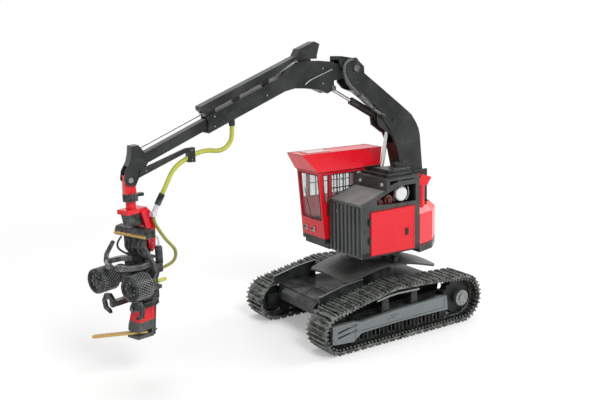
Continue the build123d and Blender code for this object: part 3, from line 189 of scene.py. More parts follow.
def surface(name, colour, worn_and_glint_colour, roughness, grain=900.0, blotch=90.0, wear=0.12, dusty=0.0, metallic=0.0,
            bump=0.35, edge=0.00012, edge_wear_and_glint=0.0, shine=0.0, **uniform):
    """Sprayed or bare cast metal: cloudy colour, grain, rubs, edges lightened partly by wear and partly by a
    painted highlight, dust on what faces up, and glossy patches.
    """
    material, graph = new_material(name)
    cloud = graph.noise(blotch, 4.0)
    fine = graph.noise(grain, 5.0)
    speck = graph.noise(grain * 0.45, 6.0)
    rub_and_glint = speck.step(0.60, 0.72) * wear
    # Edges take the worn colour: partly wear, partly a painted highlight where the edges would catch the
    # light
    if edge_wear_and_glint:
        rub_and_glint = rub_and_glint + graph.edges(edge * 1.6) * (fine.step(0.25, 0.6) * edge_wear_and_glint)
    tint = graph.mix(cloud.step(0.3, 0.75) * 0.35, colour, worn_and_glint_colour)
    rubbed_and_glinting = graph.mix(rub_and_glint, tint, worn_and_glint_colour)
    facing = graph.node("ShaderNodeNewGeometry", out=1)
    upward = graph.node("ShaderNodeSeparateXYZ", {0: facing}, 2).step(0.35, 0.95)
    layer = upward * cloud.step(0.35, 0.7) * dusty
    dusted = graph.mix(layer, rubbed_and_glinting, (0.46, 0.47, 0.45))
    rough = cloud * 0.16 + fine * 0.08 + (roughness - 0.12) + rub_and_glint * 0.3 + layer * 0.3
    height = fine * bump + speck * (bump * 0.5)
    settings = {key.replace("_", " "): value for key, value in uniform.items()}
    if shine:
        settings["Coat Weight"] = cloud.step(0.40, 0.68) * shine
        settings["Coat Roughness"] = 0.12
    set_shader(graph, dusted, rough, height, settings, metallic, edge)
    return material


def glazing(name, colour, alpha):
    """Thin moulded glazing with faint smears."""
    material, graph = new_material(name)
    smear = graph.noise(160.0, 4.0)
    material.surface_render_method = "BLENDED"
    tint = graph.mix(smear, colour, [channel * 0.8 for channel in colour])
    shader = graph.node("ShaderNodeBsdfPrincipled",
                        {"Base Color": tint, "Roughness": smear * 0.10 + 0.02,
                         "Alpha": smear.step(0.35, 0.8) * 0.10 + alpha, "IOR": 1.49})
    graph.node("ShaderNodeOutputMaterial", {"Surface": shader})
    return material


def tube(name, colour, dark, roughness=0.42):
    """A soft extruded tube with faint streaks and a fine grain."""
    material, graph = new_material(name)
    cloud = graph.noise(140.0, 4.0)
    fine = graph.noise(1600.0, 4.0)
    tint = graph.mix(cloud.step(0.3, 0.7) * 0.6, colour, dark)
    set_shader(graph, tint, cloud * 0.2 + roughness, fine * 0.4, {"Specular IOR Level": 0.45})
    return material


# Finishes: name, colour, colour where worn and where edges carry a painted highlight, roughness
red_paint = surface("red_paint", (0.70, 0.003, 0.014), (0.74, 0.020, 0.034), 0.25, wear=0.10, bump=0.08,
                    Coat_Weight=0.08, Coat_Roughness=0.10, Specular_IOR_Level=0.34)
dark_red = surface("dark_red", (0.13, 0.003, 0.006), (0.24, 0.01, 0.015), 0.35, wear=0.15, bump=0.15)
roof_pane = surface("roof_pane", (0.72, 0.56, 0.56), (0.80, 0.66, 0.66), 0.12, wear=0.2, bump=0.1)
charcoal_paint = surface("charcoal_paint", (0.010, 0.012, 0.011), (0.090, 0.098, 0.092), 0.33, blotch=160.0,
                         wear=0.22, dusty=0.06, bump=0.2, edge=0.0002, edge_wear_and_glint=0.8, shine=0.2,
                         Specular_IOR_Level=0.22)
housing_paint = surface("housing_paint", (0.022, 0.026, 0.024), (0.080, 0.090, 0.084), 0.34, wear=0.22,
                        dusty=0.08, bump=0.2, edge_wear_and_glint=0.6)
grille_paint = surface("grille_paint", (0.040, 0.046, 0.043), (0.12, 0.132, 0.124), 0.34, wear=0.22,
                       dusty=0.08, bump=0.2, edge_wear_and_glint=0.7)
boom_paint = surface("boom_paint", (0.010, 0.012, 0.011), (0.066, 0.072, 0.068), 0.34, blotch=110.0,
                     wear=0.26, dusty=0.05, bump=0.22, edge=0.0002, edge_wear_and_glint=0.7, shine=0.10,
                     Specular_IOR_Level=0.28)
panel_paint = surface("panel_paint", (0.132, 0.150, 0.152), (0.19, 0.212, 0.214), 0.36, wear=0.2, bump=0.15,
                      edge_wear_and_glint=0.3)
skirt_paint = surface("skirt_paint", (0.062, 0.068, 0.063), (0.11, 0.118, 0.11), 0.42, wear=0.16, dusty=0.10,
                      bump=0.22, edge_wear_and_glint=0.4)
hood_paint = surface("hood_paint", (0.150, 0.158, 0.150), (0.25, 0.26, 0.25), 0.40, wear=0.15, dusty=0.16,
                     bump=0.2, edge_wear_and_glint=0.3)
engine_paint = surface("engine_paint", (0.10, 0.008, 0.012), (0.20, 0.035, 0.04), 0.32, wear=0.3, bump=0.3,
                       edge_wear_and_glint=0.5)
# Track shoes: their pale edge colour is a painted glint, partly wear
track_finish = surface("track_finish", (0.011, 0.013, 0.011), (0.46, 0.49, 0.45), 0.28, grain=380.0,
                       blotch=300.0, wear=0.10, dusty=0.03, bump=0.3, edge=0.00018, edge_wear_and_glint=1.0, shine=0.6,
                       Specular_IOR_Level=0.20)
wheel_finish = surface("wheel_finish", (0.012, 0.014, 0.013), (0.060, 0.068, 0.062), 0.42, blotch=240.0,
                       wear=0.25, dusty=0.05, bump=0.4, Specular_IOR_Level=0.28)
# Head and roller blacks: their paler edge colour is a painted highlight, partly wear
gloss_black = surface("gloss_black", (0.007, 0.008, 0.008), (0.15, 0.16, 0.155), 0.30, blotch=330.0,
                      wear=0.25, bump=0.3, edge=0.00024, edge_wear_and_glint=0.9, shine=0.6, Specular_IOR_Level=0.20)
roller_finish = surface("roller_finish", (0.007, 0.008, 0.008), (0.12, 0.13, 0.125), 0.30, blotch=330.0,
                        wear=0.30, bump=0.4, edge=0.0002, edge_wear_and_glint=0.9, shine=0.6, Specular_IOR_Level=0.16)
# Studs and bolts: their pale edge colour is a painted highlight, partly wear
stud_metal = surface("stud_metal", (0.13, 0.142, 0.136), (0.34, 0.36, 0.35), 0.30, blotch=260.0,
                     wear=0.4, bump=0.3, edge_wear_and_glint=0.8, Specular_IOR_Level=0.35)
bright_metal = surface("bright_metal", (0.62, 0.63, 0.62), (0.46, 0.47, 0.46), 0.20, wear=0.3, metallic=1.0,
                       bump=0.1)
pale_metal = surface("pale_metal", (0.66, 0.68, 0.66), (0.48, 0.50, 0.49), 0.30, wear=0.3, metallic=0.15,
                     bump=0.2)
# Knives: their pale edge colour is a painted highlight, partly wear
dark_chrome = surface("dark_chrome", (0.020, 0.022, 0.021), (0.34, 0.36, 0.35), 0.15, blotch=200.0, wear=0.2,
                      bump=0.2, edge=0.0004, edge_wear_and_glint=0.9, shine=1.0, Specular_IOR_Level=0.6)
plain_metal = surface("plain_metal", (0.27, 0.285, 0.275), (0.16, 0.17, 0.165), 0.36, blotch=300.0, wear=0.4,
                      metallic=0.85, bump=0.3)
pin_metal = surface("pin_metal", (0.105, 0.112, 0.105), (0.26, 0.275, 0.26), 0.32, blotch=300.0, wear=0.4,
                    metallic=0.8, bump=0.3)
gold_paint = surface("gold_paint", (0.50, 0.31, 0.075), (0.64, 0.46, 0.18), 0.33, wear=0.4, metallic=0.35,
                     bump=0.3, grain=600.0)
guard_metal = surface("guard_metal", (0.040, 0.046, 0.045), (0.12, 0.13, 0.128), 0.34, wear=0.35, bump=0.3,
                      edge_wear_and_glint=0.5)
moulded_black = surface("moulded_black", (0.008, 0.008, 0.009), (0.025, 0.026, 0.026), 0.46, wear=0.2,
                        bump=0.3)
seam_black = surface("seam_black", (0.006, 0.006, 0.006), (0.015, 0.015, 0.015), 0.7, wear=0.2, bump=0.3)
lamp_white = surface("lamp_white", (0.74, 0.75, 0.74), (0.55, 0.57, 0.57), 0.20, blotch=400.0, wear=0.2,
                     bump=0.5)
lamp_grey = surface("lamp_grey", (0.58, 0.52, 0.52), (0.40, 0.37, 0.37), 0.16, blotch=400.0, wear=0.2,
                    bump=0.5)
fitting_white = surface("fitting_white", (0.60, 0.60, 0.63), (0.44, 0.44, 0.47), 0.30, blotch=500.0,
                        wear=0.25, bump=0.4)
clear_glass = glazing("clear_glass", (0.62, 0.68, 0.68), 0.14)
green_tube = tube("green_tube", (0.53, 0.54, 0.085), (0.33, 0.35, 0.050))
olive_tube = tube("olive_tube", (0.35, 0.335, 0.080), (0.20, 0.195, 0.045))
black_tube = tube("black_tube", (0.014, 0.016, 0.015), (0.040, 0.043, 0.040))
grey_tube = tube("grey_tube", (0.21, 0.23, 0.215), (0.090, 0.10, 0.094), 0.30)

node_finishes = {
    red_paint: ["side_door", "counterweight", "cab_shell", "cab_roof", "exhaust_stack", "hanger_yoke",
                "head_bracket", "saw_box"],
    charcoal_paint: ["undercarriage_frame", "swing_deck", "deck_steps", "cab_sill", "crowd_barrel",
                     "lift_barrel"],
    gloss_black: ["rotator_collar", "carrier_fittings", "head_frame", "feed_arm_left", "feed_arm_right",
                  "claw_left", "claw_right"],
    housing_paint: ["engine_housing"],
    grille_paint: ["front_grille"],
    boom_paint: ["main_boom", "stick_beam", "ram_housing", "extension_beam"],
    panel_paint: ["side_panels"],
    skirt_paint: ["slew_skirt"],
    hood_paint: ["hood_panel"],
    engine_paint: ["engine_block"],
    track_finish: ["track_left", "track_right"],
    wheel_finish: ["track_wheels"],
    roller_finish: ["feed_roller_left", "feed_roller_right"],
    bright_metal: ["lift_rod", "crowd_rod", "extension_rod"],
    pale_metal: ["ram_barrel"],
    dark_chrome: ["knife_left", "knife_right"],
    plain_metal: ["drive_hubs", "track_slides", "tip_pin"],
    gold_paint: ["saw_bar", "head_strip"],
    guard_metal: ["saw_guard"],
    moulded_black: ["cab_seat", "door_fittings", "window_bars"],
    green_tube: ["hose_stub"],
    lamp_white: ["air_disc"],
    lamp_grey: ["cab_lamps"],
    fitting_white: ["hose_fitting"],
    clear_glass: ["cab_glass"],
}
for finish, names in node_finishes.items():
    for name in names:
        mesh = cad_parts[name].data
        mesh.materials.clear()
        mesh.materials.append(finish)


def deselect():
    for piece in list(bpy.context.selected_objects):
        piece.select_set(False)


def settle(piece, name, body, finish, smooth=None):
    """Names a finished piece, puts its object at the origin and sets it on its body, if it has one body."""
    deselect()
    piece.select_set(True)
    bpy.context.view_layer.objects.active = piece
    bpy.ops.object.transform_apply(location=True, rotation=True, scale=True)
    if smooth:
        bpy.ops.object.shade_smooth_by_angle(angle=radians(smooth))
    piece.name = name
    piece.data.name = name
    piece.data.materials.clear()
    piece.data.materials.append(finish)
    if body:
        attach(piece, body)


def join(pieces):
    deselect()
    for piece in pieces:
        piece.select_set(True)
    bpy.context.view_layer.objects.active = pieces[0]
    if len(pieces) > 1:
        bpy.ops.object.join()
    return bpy.context.view_layer.objects.active


def turn_to(axis):
    """The rotation that takes Z to an axis."""
    return UPWARD.rotation_difference(Vector(axis).normalized()).to_matrix().to_4x4()


def copies(original, places):
    """One joined piece of copies of a small modelled piece, each at a place with its Z along an axis."""
    made = []
    for place, axis in places:
        each = bpy.data.objects.new("copy", original.data.copy())
        bpy.context.collection.objects.link(each)
        each.matrix_world = Matrix.Translation(place) @ turn_to(axis)
        made.append(each)
    whole = join(made)
    bpy.data.objects.remove(original)
    return whole


def select_top(limit=0.9):
    """Selects, in edit mode, the faces that look up along Z."""
    bpy.ops.object.mode_set(mode="OBJECT")
    mesh = bpy.context.object.data
    for part in (mesh.vertices, mesh.edges, mesh.polygons):
        for item in part:
            item.select = False
    for face in mesh.polygons:
        face.select = face.normal.z > limit
    bpy.ops.object.mode_set(mode="EDIT")
    bpy.ops.mesh.select_mode(type="FACE")


def disc(radius, height, sides):
    """A plain round or many-sided blank, standing on Z = 0, with its top face selected in edit mode."""
    deselect()
    bpy.ops.mesh.primitive_cylinder_add(vertices=sides, radius=radius * MM, depth=height * MM,
                                        location=(0, 0, height * MM / 2))
    bpy.ops.object.transform_apply(location=True, rotation=True, scale=True)
    select_top()
    return bpy.context.object


def bolt(radius, height, sides=6):
    """A bolt head with a raised, smaller top."""
    head = disc(radius, height, sides)
    bpy.ops.mesh.inset(thickness=radius * 0.22 * MM, depth=height * 0.22 * MM)
    bpy.ops.object.mode_set(mode="OBJECT")
    return head


def cup(radius, height, rim, depth, sides=28):
    """A round boss with a sunk face inside its rim."""
    boss = disc(radius, height, sides)
    bpy.ops.mesh.inset(thickness=rim * MM, depth=0)
    bpy.ops.mesh.inset(thickness=rim * 0.25 * MM, depth=-depth * MM)
    bpy.ops.object.mode_set(mode="OBJECT")
    return boss


def bar(size, bevel):
    """A bar with bevelled edges, centred on the origin."""
    deselect()
    bpy.ops.mesh.primitive_cube_add(size=1)
    piece = bpy.context.object
    piece.scale = Vector(size) * MM
    bpy.ops.object.transform_apply(location=True, rotation=True, scale=True)
    bpy.ops.object.mode_set(mode="EDIT")
    bpy.ops.mesh.select_all(action="SELECT")
    bpy.ops.mesh.bevel(offset=bevel * MM, segments=2, affect="EDGES")
    bpy.ops.object.mode_set(mode="OBJECT")
    return piece


def strip(start, end, width, height, bevel, across=(0, 1, 0)):
    """A bevelled bar from one point to another, its width along the across direction."""
    piece = bar(((end - start).length / MM, width, height), bevel)
    x_axis = (end - start).normalized()
    y_axis = Vector(across).normalized()
    z_axis = x_axis.cross(y_axis).normalized()
    turn = Matrix((x_axis, y_axis, z_axis)).transposed().to_4x4()
    piece.matrix_world = Matrix.Translation((start + end) / 2) @ turn
    deselect()
    piece.select_set(True)
    bpy.context.view_layer.objects.active = piece
    bpy.ops.object.transform_apply(location=True, rotation=True, scale=True)
    return piece


def side_strips(y, lines, width, height, bevel):
    """Strips on a face that looks sideways, each between two places given by X and Z."""
    return [strip(spot(xa, y, za), spot(xb, y, zb), width, height, bevel) for (xa, za), (xb, zb) in lines]


def line(name, points, radius, resolution=14):
    """A round NURBS curve with these control points."""
    data = bpy.data.curves.new(name, "CURVE")
    data.dimensions = "3D"
    spline = data.splines.new("NURBS")
    spline.points.add(len(points) - 1)
    for point, place in zip(spline.points, points):
        point.co = (*place, 1)
    spline.order_u = 3
    spline.use_endpoint_u = True
    spline.resolution_u = resolution
    data.bevel_depth = radius * MM
    data.bevel_resolution = 5
    data.use_fill_caps = True
    piece = bpy.data.objects.new(name, data)
    bpy.context.collection.objects.link(piece)
    return piece


def pipe(name, points, radius, body, finish):
    """A round pipe along a smooth line, on its body."""
    piece = line(name, points, radius)
    piece.data.materials.append(finish)
    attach(piece, body)


# Hoses along the routes of their solids, as places along X and Z
supply_route = [(68.2, 100.6), (68.2, 97.4), (69.0, 94.2), (71.4, 91.7), (74.9, 90.7), (79.0, 91.5),
                (83.8, 91.2), (91.8, 87.9), (95.6, 84.6), (97.8, 80.4), (100.2, 76.2)]
head_route = [(104.4, 67.6), (104.4, 65.8), (102.7, 62.2), (99.8, 57.5), (97.3, 54.6), (96.0, 52.6),
              (95.8, 50.66), (96.47, 48.83), (97.87, 47.48), (101.0, 46.46), (103.9, 45.52)]
boom_route = [(8.2, 125.4), (10.4, 125.4), (12.39, 124.25), (13.54, 122.26), (13.4, 119.1), (11.9, 115.8),
              (8.9, 112.8), (5.3, 109.7), (1.5, 106.3), (-2.5, 103.0), (-6.6, 100.4)]


def threaded(points, gap):
    """Places and directions an even gap apart along the smooth line of these control points."""
    thread = line("thread", points, 0)
    mesh = bpy.data.meshes.new_from_object(thread)
    corners = [vertex.co.copy() for vertex in mesh.vertices]
    bpy.data.objects.remove(thread)
    places = []
    left = gap / 2
    for start, end in runs(corners):
        length = (end - start).length
        while left <= length:
            places.append((start.lerp(end, left / length), (end - start).normalized()))
            left += gap
        left -= length
    return places


def meshed(curve):
    """A finished curve as a mesh of the same name, in its place."""
    name = curve.name
    mesh = bpy.data.meshes.new_from_object(curve)
    bpy.data.objects.remove(curve)
    piece = bpy.data.objects.new(name, mesh)
    bpy.context.collection.objects.link(piece)
    return piece


# A hose that crosses joints is a row of tubes end to end. Each tube has its name, the place along X where it
# ends, its bodies, two places on the route given for a bend, and a length given for a free cord.
supply_tubes = (("supply_tube", 91.3, ("stick", "extension"), ((68.2, 98.5), (88.0, 89.7)), 0.0305),
                ("supply_tube_end", None, ("extension", "hanger"), ((91.8, 87.9), (99.6, 77.4)), None))
head_tubes = (("head_tube", None, ("head_carrier", "head"), ((102.7, 62.2), (100.0, 46.6)), None),)
boom_tubes = (("boom_tube", None, ("boom",), None, 0.0375),)
CENTRE_GAP, RIB_GAP = 0.3 * MM, 0.62 * MM
for node, route, y, radius, finish, rib_finish, slot, tubes in (
        ("supply_hose", supply_route, 9.5, 0.9, green_tube, green_tube, "hose_green", supply_tubes),
        ("head_hose", head_route, 9.33, 0.62, olive_tube, olive_tube, "hose_green", head_tubes),
        ("boom_hose", boom_route, 12.2, 0.6, black_tube, grey_tube, "hose_black", boom_tubes)):
    points = [spot(x, y, z) for x, z in route]
    centres = [points[0]] + [place for place, _ in threaded(points, CENTRE_GAP)] + [points[-1]]
    rib_places = threaded(points, RIB_GAP)
    for name, until, bodies, bend, length in tubes:
        limit = float("inf") if until is None else (until - FRAME_X) * MM
        taken = [place for place in centres if place.x <= limit]
        rib_taken = [place for place in rib_places if place[0].x <= limit]
        ribs = copies(cup(radius + 0.07, 0.26, 0.10, 0.02, 14), rib_taken)
        settle(ribs, name + "_ribs", None, rib_finish, 40)
        if bend:
            hose = line(name, taken, radius, resolution=1)
            hose.data.materials.append(finish)
            hose = meshed(hose)
            start, end = (spot(x, y, z) for x, z in bend)
            for piece in (hose, ribs):
                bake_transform(piece)
        else:
            hose = line(name, points, radius)
            hose.data.materials.append(finish)
            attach(hose, bodies[0])
            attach(ribs, bodies[0])
        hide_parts(node)
        if length:
            2 * radius * MM
        centres = taken[-1:] + centres[len(taken):]
        rib_places = rib_places[len(rib_taken):]

# Tracks: two chain pins to a shoe. Each round has its centre along X and Z and the shoes' outer radius.
IDLER = (32.0, 9.8, 9.8)
ARCH = (0.0, 5.5, 21.7)
SPROCKET = (-38.6, 11.8, 11.8)
PIN_INSET = 2.5
PIN_COUNT = 100


def taut_loop(count, inset):
    """Points spaced evenly round the taut loop that the shoes follow, drawn in by an inset."""
    rounds = [(x, z, radius - inset) for x, z, radius in (IDLER, ARCH, SPROCKET)]
    touch = []
    for (x1, z1, r1), (x2, z2, r2) in runs(rounds, closed=True):
        out = atan2(z2 - z1, x2 - x1) - acos((r1 - r2) / hypot(x2 - x1, z2 - z1))
        start, end = ((x + r * cos(out), z + r * sin(out)) for x, z, r in ((x1, z1, r1), (x2, z2, r2)))
        touch.append((out, start, end))
    stretches = []
    for k, (x, z, radius) in enumerate(rounds):
        before = touch[k - 1][0]
        out, (xa, za), (xb, zb) = touch[k]
        stretches.append((radius * ((out - before) % (2 * pi)), lambda s, x=x, z=z, r=radius, a=before:
                          (x + r * cos(a + s / r), z + r * sin(a + s / r))))
        run = hypot(xb - xa, zb - za)
        stretches.append((run, lambda s, xa=xa, za=za, xb=xb, zb=zb, run=run:
                          (xa + (xb - xa) * s / run, za + (zb - za) * s / run)))
    total = sum(length for length, _ in stretches)
    points = []
    for n in range(count):
        s = (n + 0.5) * total / count
        for length, place in stretches:
            if s <= length:
                points.append(place(s))
                break
            s -= length
    return points


for hand, side in SIDES:
    pins = copies(cup(0.55, 3.2, 0.18, 0.15, 12),
                  [(spot(x, hand * 30.9, z), (0, hand, 0)) for x, z in taut_loop(PIN_COUNT, PIN_INSET)])
    settle(pins, "track_pins_" + side, "undercarriage", pin_metal, 40)

# Track frames: bolts and caps on the hubs, and the side panels' bolts, seams and slots
HUB_Y = 33.6
PANEL_Y = 33.4
hub_bolts = [(spot(SPROCKET[0] + a, hand * HUB_Y, SPROCKET[1] + b), (0, hand, 0))
             for hand, _ in SIDES for a, b in circle(9, 2.9)]
settle(copies(bolt(0.34, 0.3), hub_bolts), "hub_bolts", "undercarriage", plain_metal)
hub_caps = copies(cup(1.9, 0.5, 0.35, 0.2, 36),
                  [(spot(SPROCKET[0], hand * HUB_Y, SPROCKET[1]), (0, hand, 0)) for hand, _ in SIDES])
settle(hub_caps, "hub_caps", "undercarriage", plain_metal, 40)

panel_bolts = [(spot(x, hand * PANEL_Y, z), (0, hand, 0)) for hand, _ in SIDES
               for x, z in ((35.0, 6.4), (35.0, 12.2), (26.0, 12.4), (-28.4, 13.6), (-28.8, 9.2),
                            (-14.0, 13.3), (4.0, 12.4), (-14.0, 9.0), (6.0, 9.0))]
settle(copies(bolt(0.28, 0.2), panel_bolts), "panel_bolts", "undercarriage", panel_paint)

seam_lines = [((24.0, 8.7), (-27.4, 9.3)), ((-27.4, 9.3), (-27.4, 14.2)), ((24.4, 13.0), (24.4, 5.4)),
              ((6.8, 10.8), (2.0, 11.0)), ((5.0, 11.9), (0.4, 12.1))]
seams = [piece for hand, _ in SIDES for piece in side_strips(hand * 33.36, seam_lines, 0.16, 0.22, 0.04)]
settle(join(seams), "panel_seams", "undercarriage", seam_black)

slots = []
for hand, _ in SIDES:
    for z in (7.75, 10.15):
        slots += side_strips(hand * 32.9, [((33.4, z), (27.0, z + 1.1))], 0.3, 1.1, 0.08)
        slots += side_strips(hand * PANEL_Y, [((27.2, z + 1.0), (23.0, z + 1.9))], 0.12, 0.42, 0.05)
settle(join(slots), "panel_slots", "undercarriage", seam_black)

# Roller brackets below the panels, over the rollers' ends
bracket_lines = [((21.4 - k * 2.25, 3.4), (21.4 - k * 2.25, 7.6)) for k in range(22)]
brackets = [piece for hand, _ in SIDES for piece in side_strips(hand * 31.9, bracket_lines, 0.9, 0.7, 0.12)]
settle(join(brackets), "roller_brackets", "undercarriage", charcoal_paint)

# Car body top: plate seams and bolts
plate_lines = [strip(spot(17.4, y, 19.38), spot(30.2, y, 19.24), 0.2, 0.16, 0.04) for y in (-12.0, 0.0, 12.0)]
plate_lines.append(strip(spot(22.0, -18.6, 19.34), spot(22.0, 18.6, 19.34), 0.2, 0.16, 0.04,
                         across=(1, 0, 0)))
settle(join(plate_lines), "deck_seams", "undercarriage", seam_black)
plate_bolts = [(spot(x, y, 19.3 - (x - 20) * 0.004), UPWARD) for x in (19.0, 24.0, 29.4)
               for y in (-17.8, -14.0, -10.0, -2.0, 2.0, 10.0, 14.0, 17.8)]
settle(copies(bolt(0.3, 0.24), plate_bolts), "plate_bolts", "undercarriage", charcoal_paint)

# Fenders: bright metal strips along their upper edges
fender_lines = runs([(33.9, 22.7), (20.6, 25.7), (10.1, 26.88)])
fender_edges = [piece for hand, _ in SIDES
                for piece in side_strips(hand * 19.85, fender_lines, 0.9, 0.3, 0.1)]
settle(join(fender_edges), "fender_edges", "undercarriage", plain_metal)

# Skirt: bolts near its sloping edge
SKIRT_REACH = 14.6
skirt_bolts = [(spot(-10.0 + a, b, 31.0 - 0.34 * (SKIRT_REACH - 12.0) - 0.02),
                (0.3 * a / SKIRT_REACH, 0.3 * b / SKIRT_REACH, 1)) for a, b in circle(28, SKIRT_REACH, 0.5)]
settle(copies(bolt(0.3, 0.24), skirt_bolts), "skirt_bolts", "undercarriage", skirt_paint)

# Engine side: lamps on the cross block, pulleys, pipes, bolts, and the door's raised edge and seam
GRILLE_X = 14.4
block_lamps = copies(cup(0.8, 0.5, 0.2, 0.2, 28), [(spot(0.0, y, 69.6), (1, 0, 0)) for y in (5.4, 21.6)])
settle(block_lamps, "block_lamps", "superstructure", lamp_grey, 40)
knob = copies(cup(0.55, 0.9, 0.15, 0.1, 24), [(spot(GRILLE_X, 8.0, 57.4), (1, 0, 0))])
settle(knob, "grille_knob", "superstructure", lamp_white, 40)
pulleys = copies(cup(1.1, 0.5, 0.3, 0.3, 28),
                 [(spot(x, 23.0, z), (0, 1, 0)) for x, z in ((-3.0, 62.4), (2.2, 61.6))])
settle(pulleys, "engine_pulleys", "superstructure", engine_paint, 40)
engine_bolts = [(spot(x, 22.4, z), (0, 1, 0))
                for x, z in ((-4.7, 62.4), (-3.8, 63.9), (-2.2, 64.0), (-1.3, 62.4), (0.9, 62.4), (3.4, 62.4),
                             (2.2, 60.3))]
settle(copies(bolt(0.26, 0.3), engine_bolts), "engine_bolts", "superstructure", plain_metal)
for name, finish, slot, route in (
        ("engine_pipe_a", engine_paint, "engine_red",
         ((-5.6, 63.4), (-6.6, 65.2), (-5.6, 67.4), (-3.4, 67.2))),
        ("engine_pipe_b", plain_metal, "plain_metal",
         ((-12.8, 61.2), (-14.4, 62.8), (-14.8, 65.4), (-14.0, 67.6)))):
    pipe(name, [spot(x, 22.6, z) for x, z in route], 0.35, "superstructure", finish)
disc_rim = copies(cup(3.0, 0.3, 0.35, 0.18, 48), [(spot(-9.9, 23.2, 64.5), (0, 1, 0))])
settle(disc_rim, "air_disc_rim", "superstructure", lamp_white, 40)

door_outline = [(9.0, 39.0), (9.0, 58.2), (-15.6, 58.5), (-15.6, 38.8)]
door_edges = side_strips(25.5, runs(door_outline, closed=True), 0.3, 0.5, 0.1)
settle(join(door_edges), "door_edges", "superstructure", red_paint)
seam_outline = [(9.55, 38.45), (9.55, 58.75), (-16.15, 59.05), (-16.15, 38.25)]
door_seam = side_strips(25.06, runs(seam_outline, closed=True), 0.24, 0.4, 0.05)
settle(join(door_seam), "door_seam", "superstructure", dark_red)
latch_bars = side_strips(25.95, [((-10.6, z), (-11.8, z)) for z in (46.4, 48.0)], 0.3, 0.5, 0.1)
settle(join(latch_bars), "door_latch_bars", "superstructure", moulded_black)
housing_bolts = [(spot(x, 25.0, z), (0, 1, 0))
                 for x, z in ((12.6, 41.6), (12.6, 50.0), (12.6, 60.4), (-18.2, 60.0), (-18.2, 70.6),
                              (-0.9, 65.6), (8.0, 60.0), (2.0, 59.8), (-6.0, 59.6), (-12.0, 59.6),
                              (11.0, 38.9))]
housing_bolts += [(spot(GRILLE_X, y, z), (1, 0, 0)) for y in (1.3, 24.4) for z in (39.0, 46.0, 53.0, 60.0)]
settle(copies(bolt(0.28, 0.22), housing_bolts), "housing_bolts", "superstructure", charcoal_paint)

# Stepped cover: edge strips and bolts on its three levels
LOW_STEP_Z, MID_STEP_Z, TOP_STEP_Z = 73.75, 75.6, 77.6
step_edges = [strip(spot(-2.7, 3.2, LOW_STEP_Z), spot(-2.7, 22.0, LOW_STEP_Z), 0.3, 0.3, 0.08,
                    across=(1, 0, 0))]
step_edges += side_strips(22.1, [((-2.8, LOW_STEP_Z), (-16.8, LOW_STEP_Z))], 0.3, 0.3, 0.08)
step_edges += side_strips(20.7, [((-4.4, MID_STEP_Z - 0.05), (-16.8, MID_STEP_Z - 0.05))], 0.3, 0.3, 0.08)
settle(join(step_edges), "step_edges", "superstructure", pin_metal)
step_bolts = [(spot(x, y, MID_STEP_Z), UPWARD) for x in (-5.4, -9.0) for y in (11.4, 15.0, 19.6)]
step_bolts += [(spot(x, 16.6, TOP_STEP_Z), UPWARD) for x in (-12.4, -17.2)]
settle(copies(bolt(0.32, 0.24), step_bolts), "step_bolts", "superstructure", plain_metal)

# Counterweight: bolts on its top and a band along its foot
weight_bolts = [(spot(x, y, 56.6), UPWARD)
                for x, y in ((-28.0, 17.2), (-33.6, 11.6), (-37.0, 2.0), (-35.4, -8.0), (-28.0, -16.8))]
settle(copies(bolt(0.5, 0.35), weight_bolts), "weight_bolts", "superstructure", red_paint)
FOOT_Z = 39.0
foot_outline = [(-19.4, 25.0), (-30.0, 21.8), (-37.8, 14.8), (-41.2, 6.0), (-42.2, 0.0), (-41.2, -6.0),
                (-37.8, -14.8), (-30.0, -21.8), (-20.0, -22.8)]
bands = []
for (xa, ya), (xb, yb) in runs(foot_outline):
    along = Vector((xb - xa, yb - ya, 0)).normalized()
    inward = Vector((-along.y, along.x, 0))
    bands.append(strip(spot(xa, ya, FOOT_Z) + inward * 0.06 * MM, spot(xb, yb, FOOT_Z) + inward * 0.06 * MM,
                       0.24, 0.9, 0.05, across=inward))
settle(join(bands), "weight_foot_band", "superstructure", seam_black)

# Exhaust: rolled lip round the outlet
lip_lines = runs([(-22.2, 67.0), (-22.0, 69.6), (-24.0, 71.6), (-29.2, 69.8)])
lips = [piece for y in (18.4, 21.6) for piece in side_strips(y, lip_lines, 0.3, 0.4, 0.1)]
settle(join(lips), "exhaust_lip", "superstructure", red_paint)

# Cab: window seals, wiper, door seam, lamp rims, roof edge and hatch
CAB_RIGHT_Y = -18.62
CAB_FRONT_LOW, CAB_FRONT_SLOPE = (17.4, 42.6), 2.6 / 32
side_window = [(-11.6, 60.0), (13.2, 60.0), (13.2, 73.0), (-11.6, 73.0)]
quarter_window = [(14.7, 60.0), (17.0, 60.0), (17.8, 73.0), (14.7, 73.0)]
seals = [piece for y in (0.42, CAB_RIGHT_Y) for outline in (side_window, quarter_window)
         for piece in side_strips(y, runs(outline, closed=True), 0.2, 0.5, 0.06)]
front_window = [(-17.2, 51.4), (-1.0, 51.4), (-1.0, 73.0), (-17.2, 73.0)]
for (ya, za), (yb, zb) in runs(front_window, closed=True):
    xa, xb = (CAB_FRONT_LOW[0] + (z - CAB_FRONT_LOW[1]) * CAB_FRONT_SLOPE + 0.02 for z in (za, zb))
    seals.append(strip(spot(xa, ya, za), spot(xb, yb, zb), 0.5, 0.2, 0.06,
                       across=(0, 0.001, 1) if za == zb else (0, 1, 0)))
settle(join(seals), "window_seals", "superstructure", seam_black)
wiper = join([strip(spot(18.5, -9.0, 52.2), spot(19.7, -12.6, 66.0), 0.3, 0.3, 0.08, across=(0, 1, 0.2)),
              strip(spot(18.25, -8.4, 51.2), spot(18.25, -9.8, 51.2), 0.5, 0.7, 0.1, across=(1, 0, 0))])
settle(wiper, "cab_wiper", "superstructure", moulded_black)
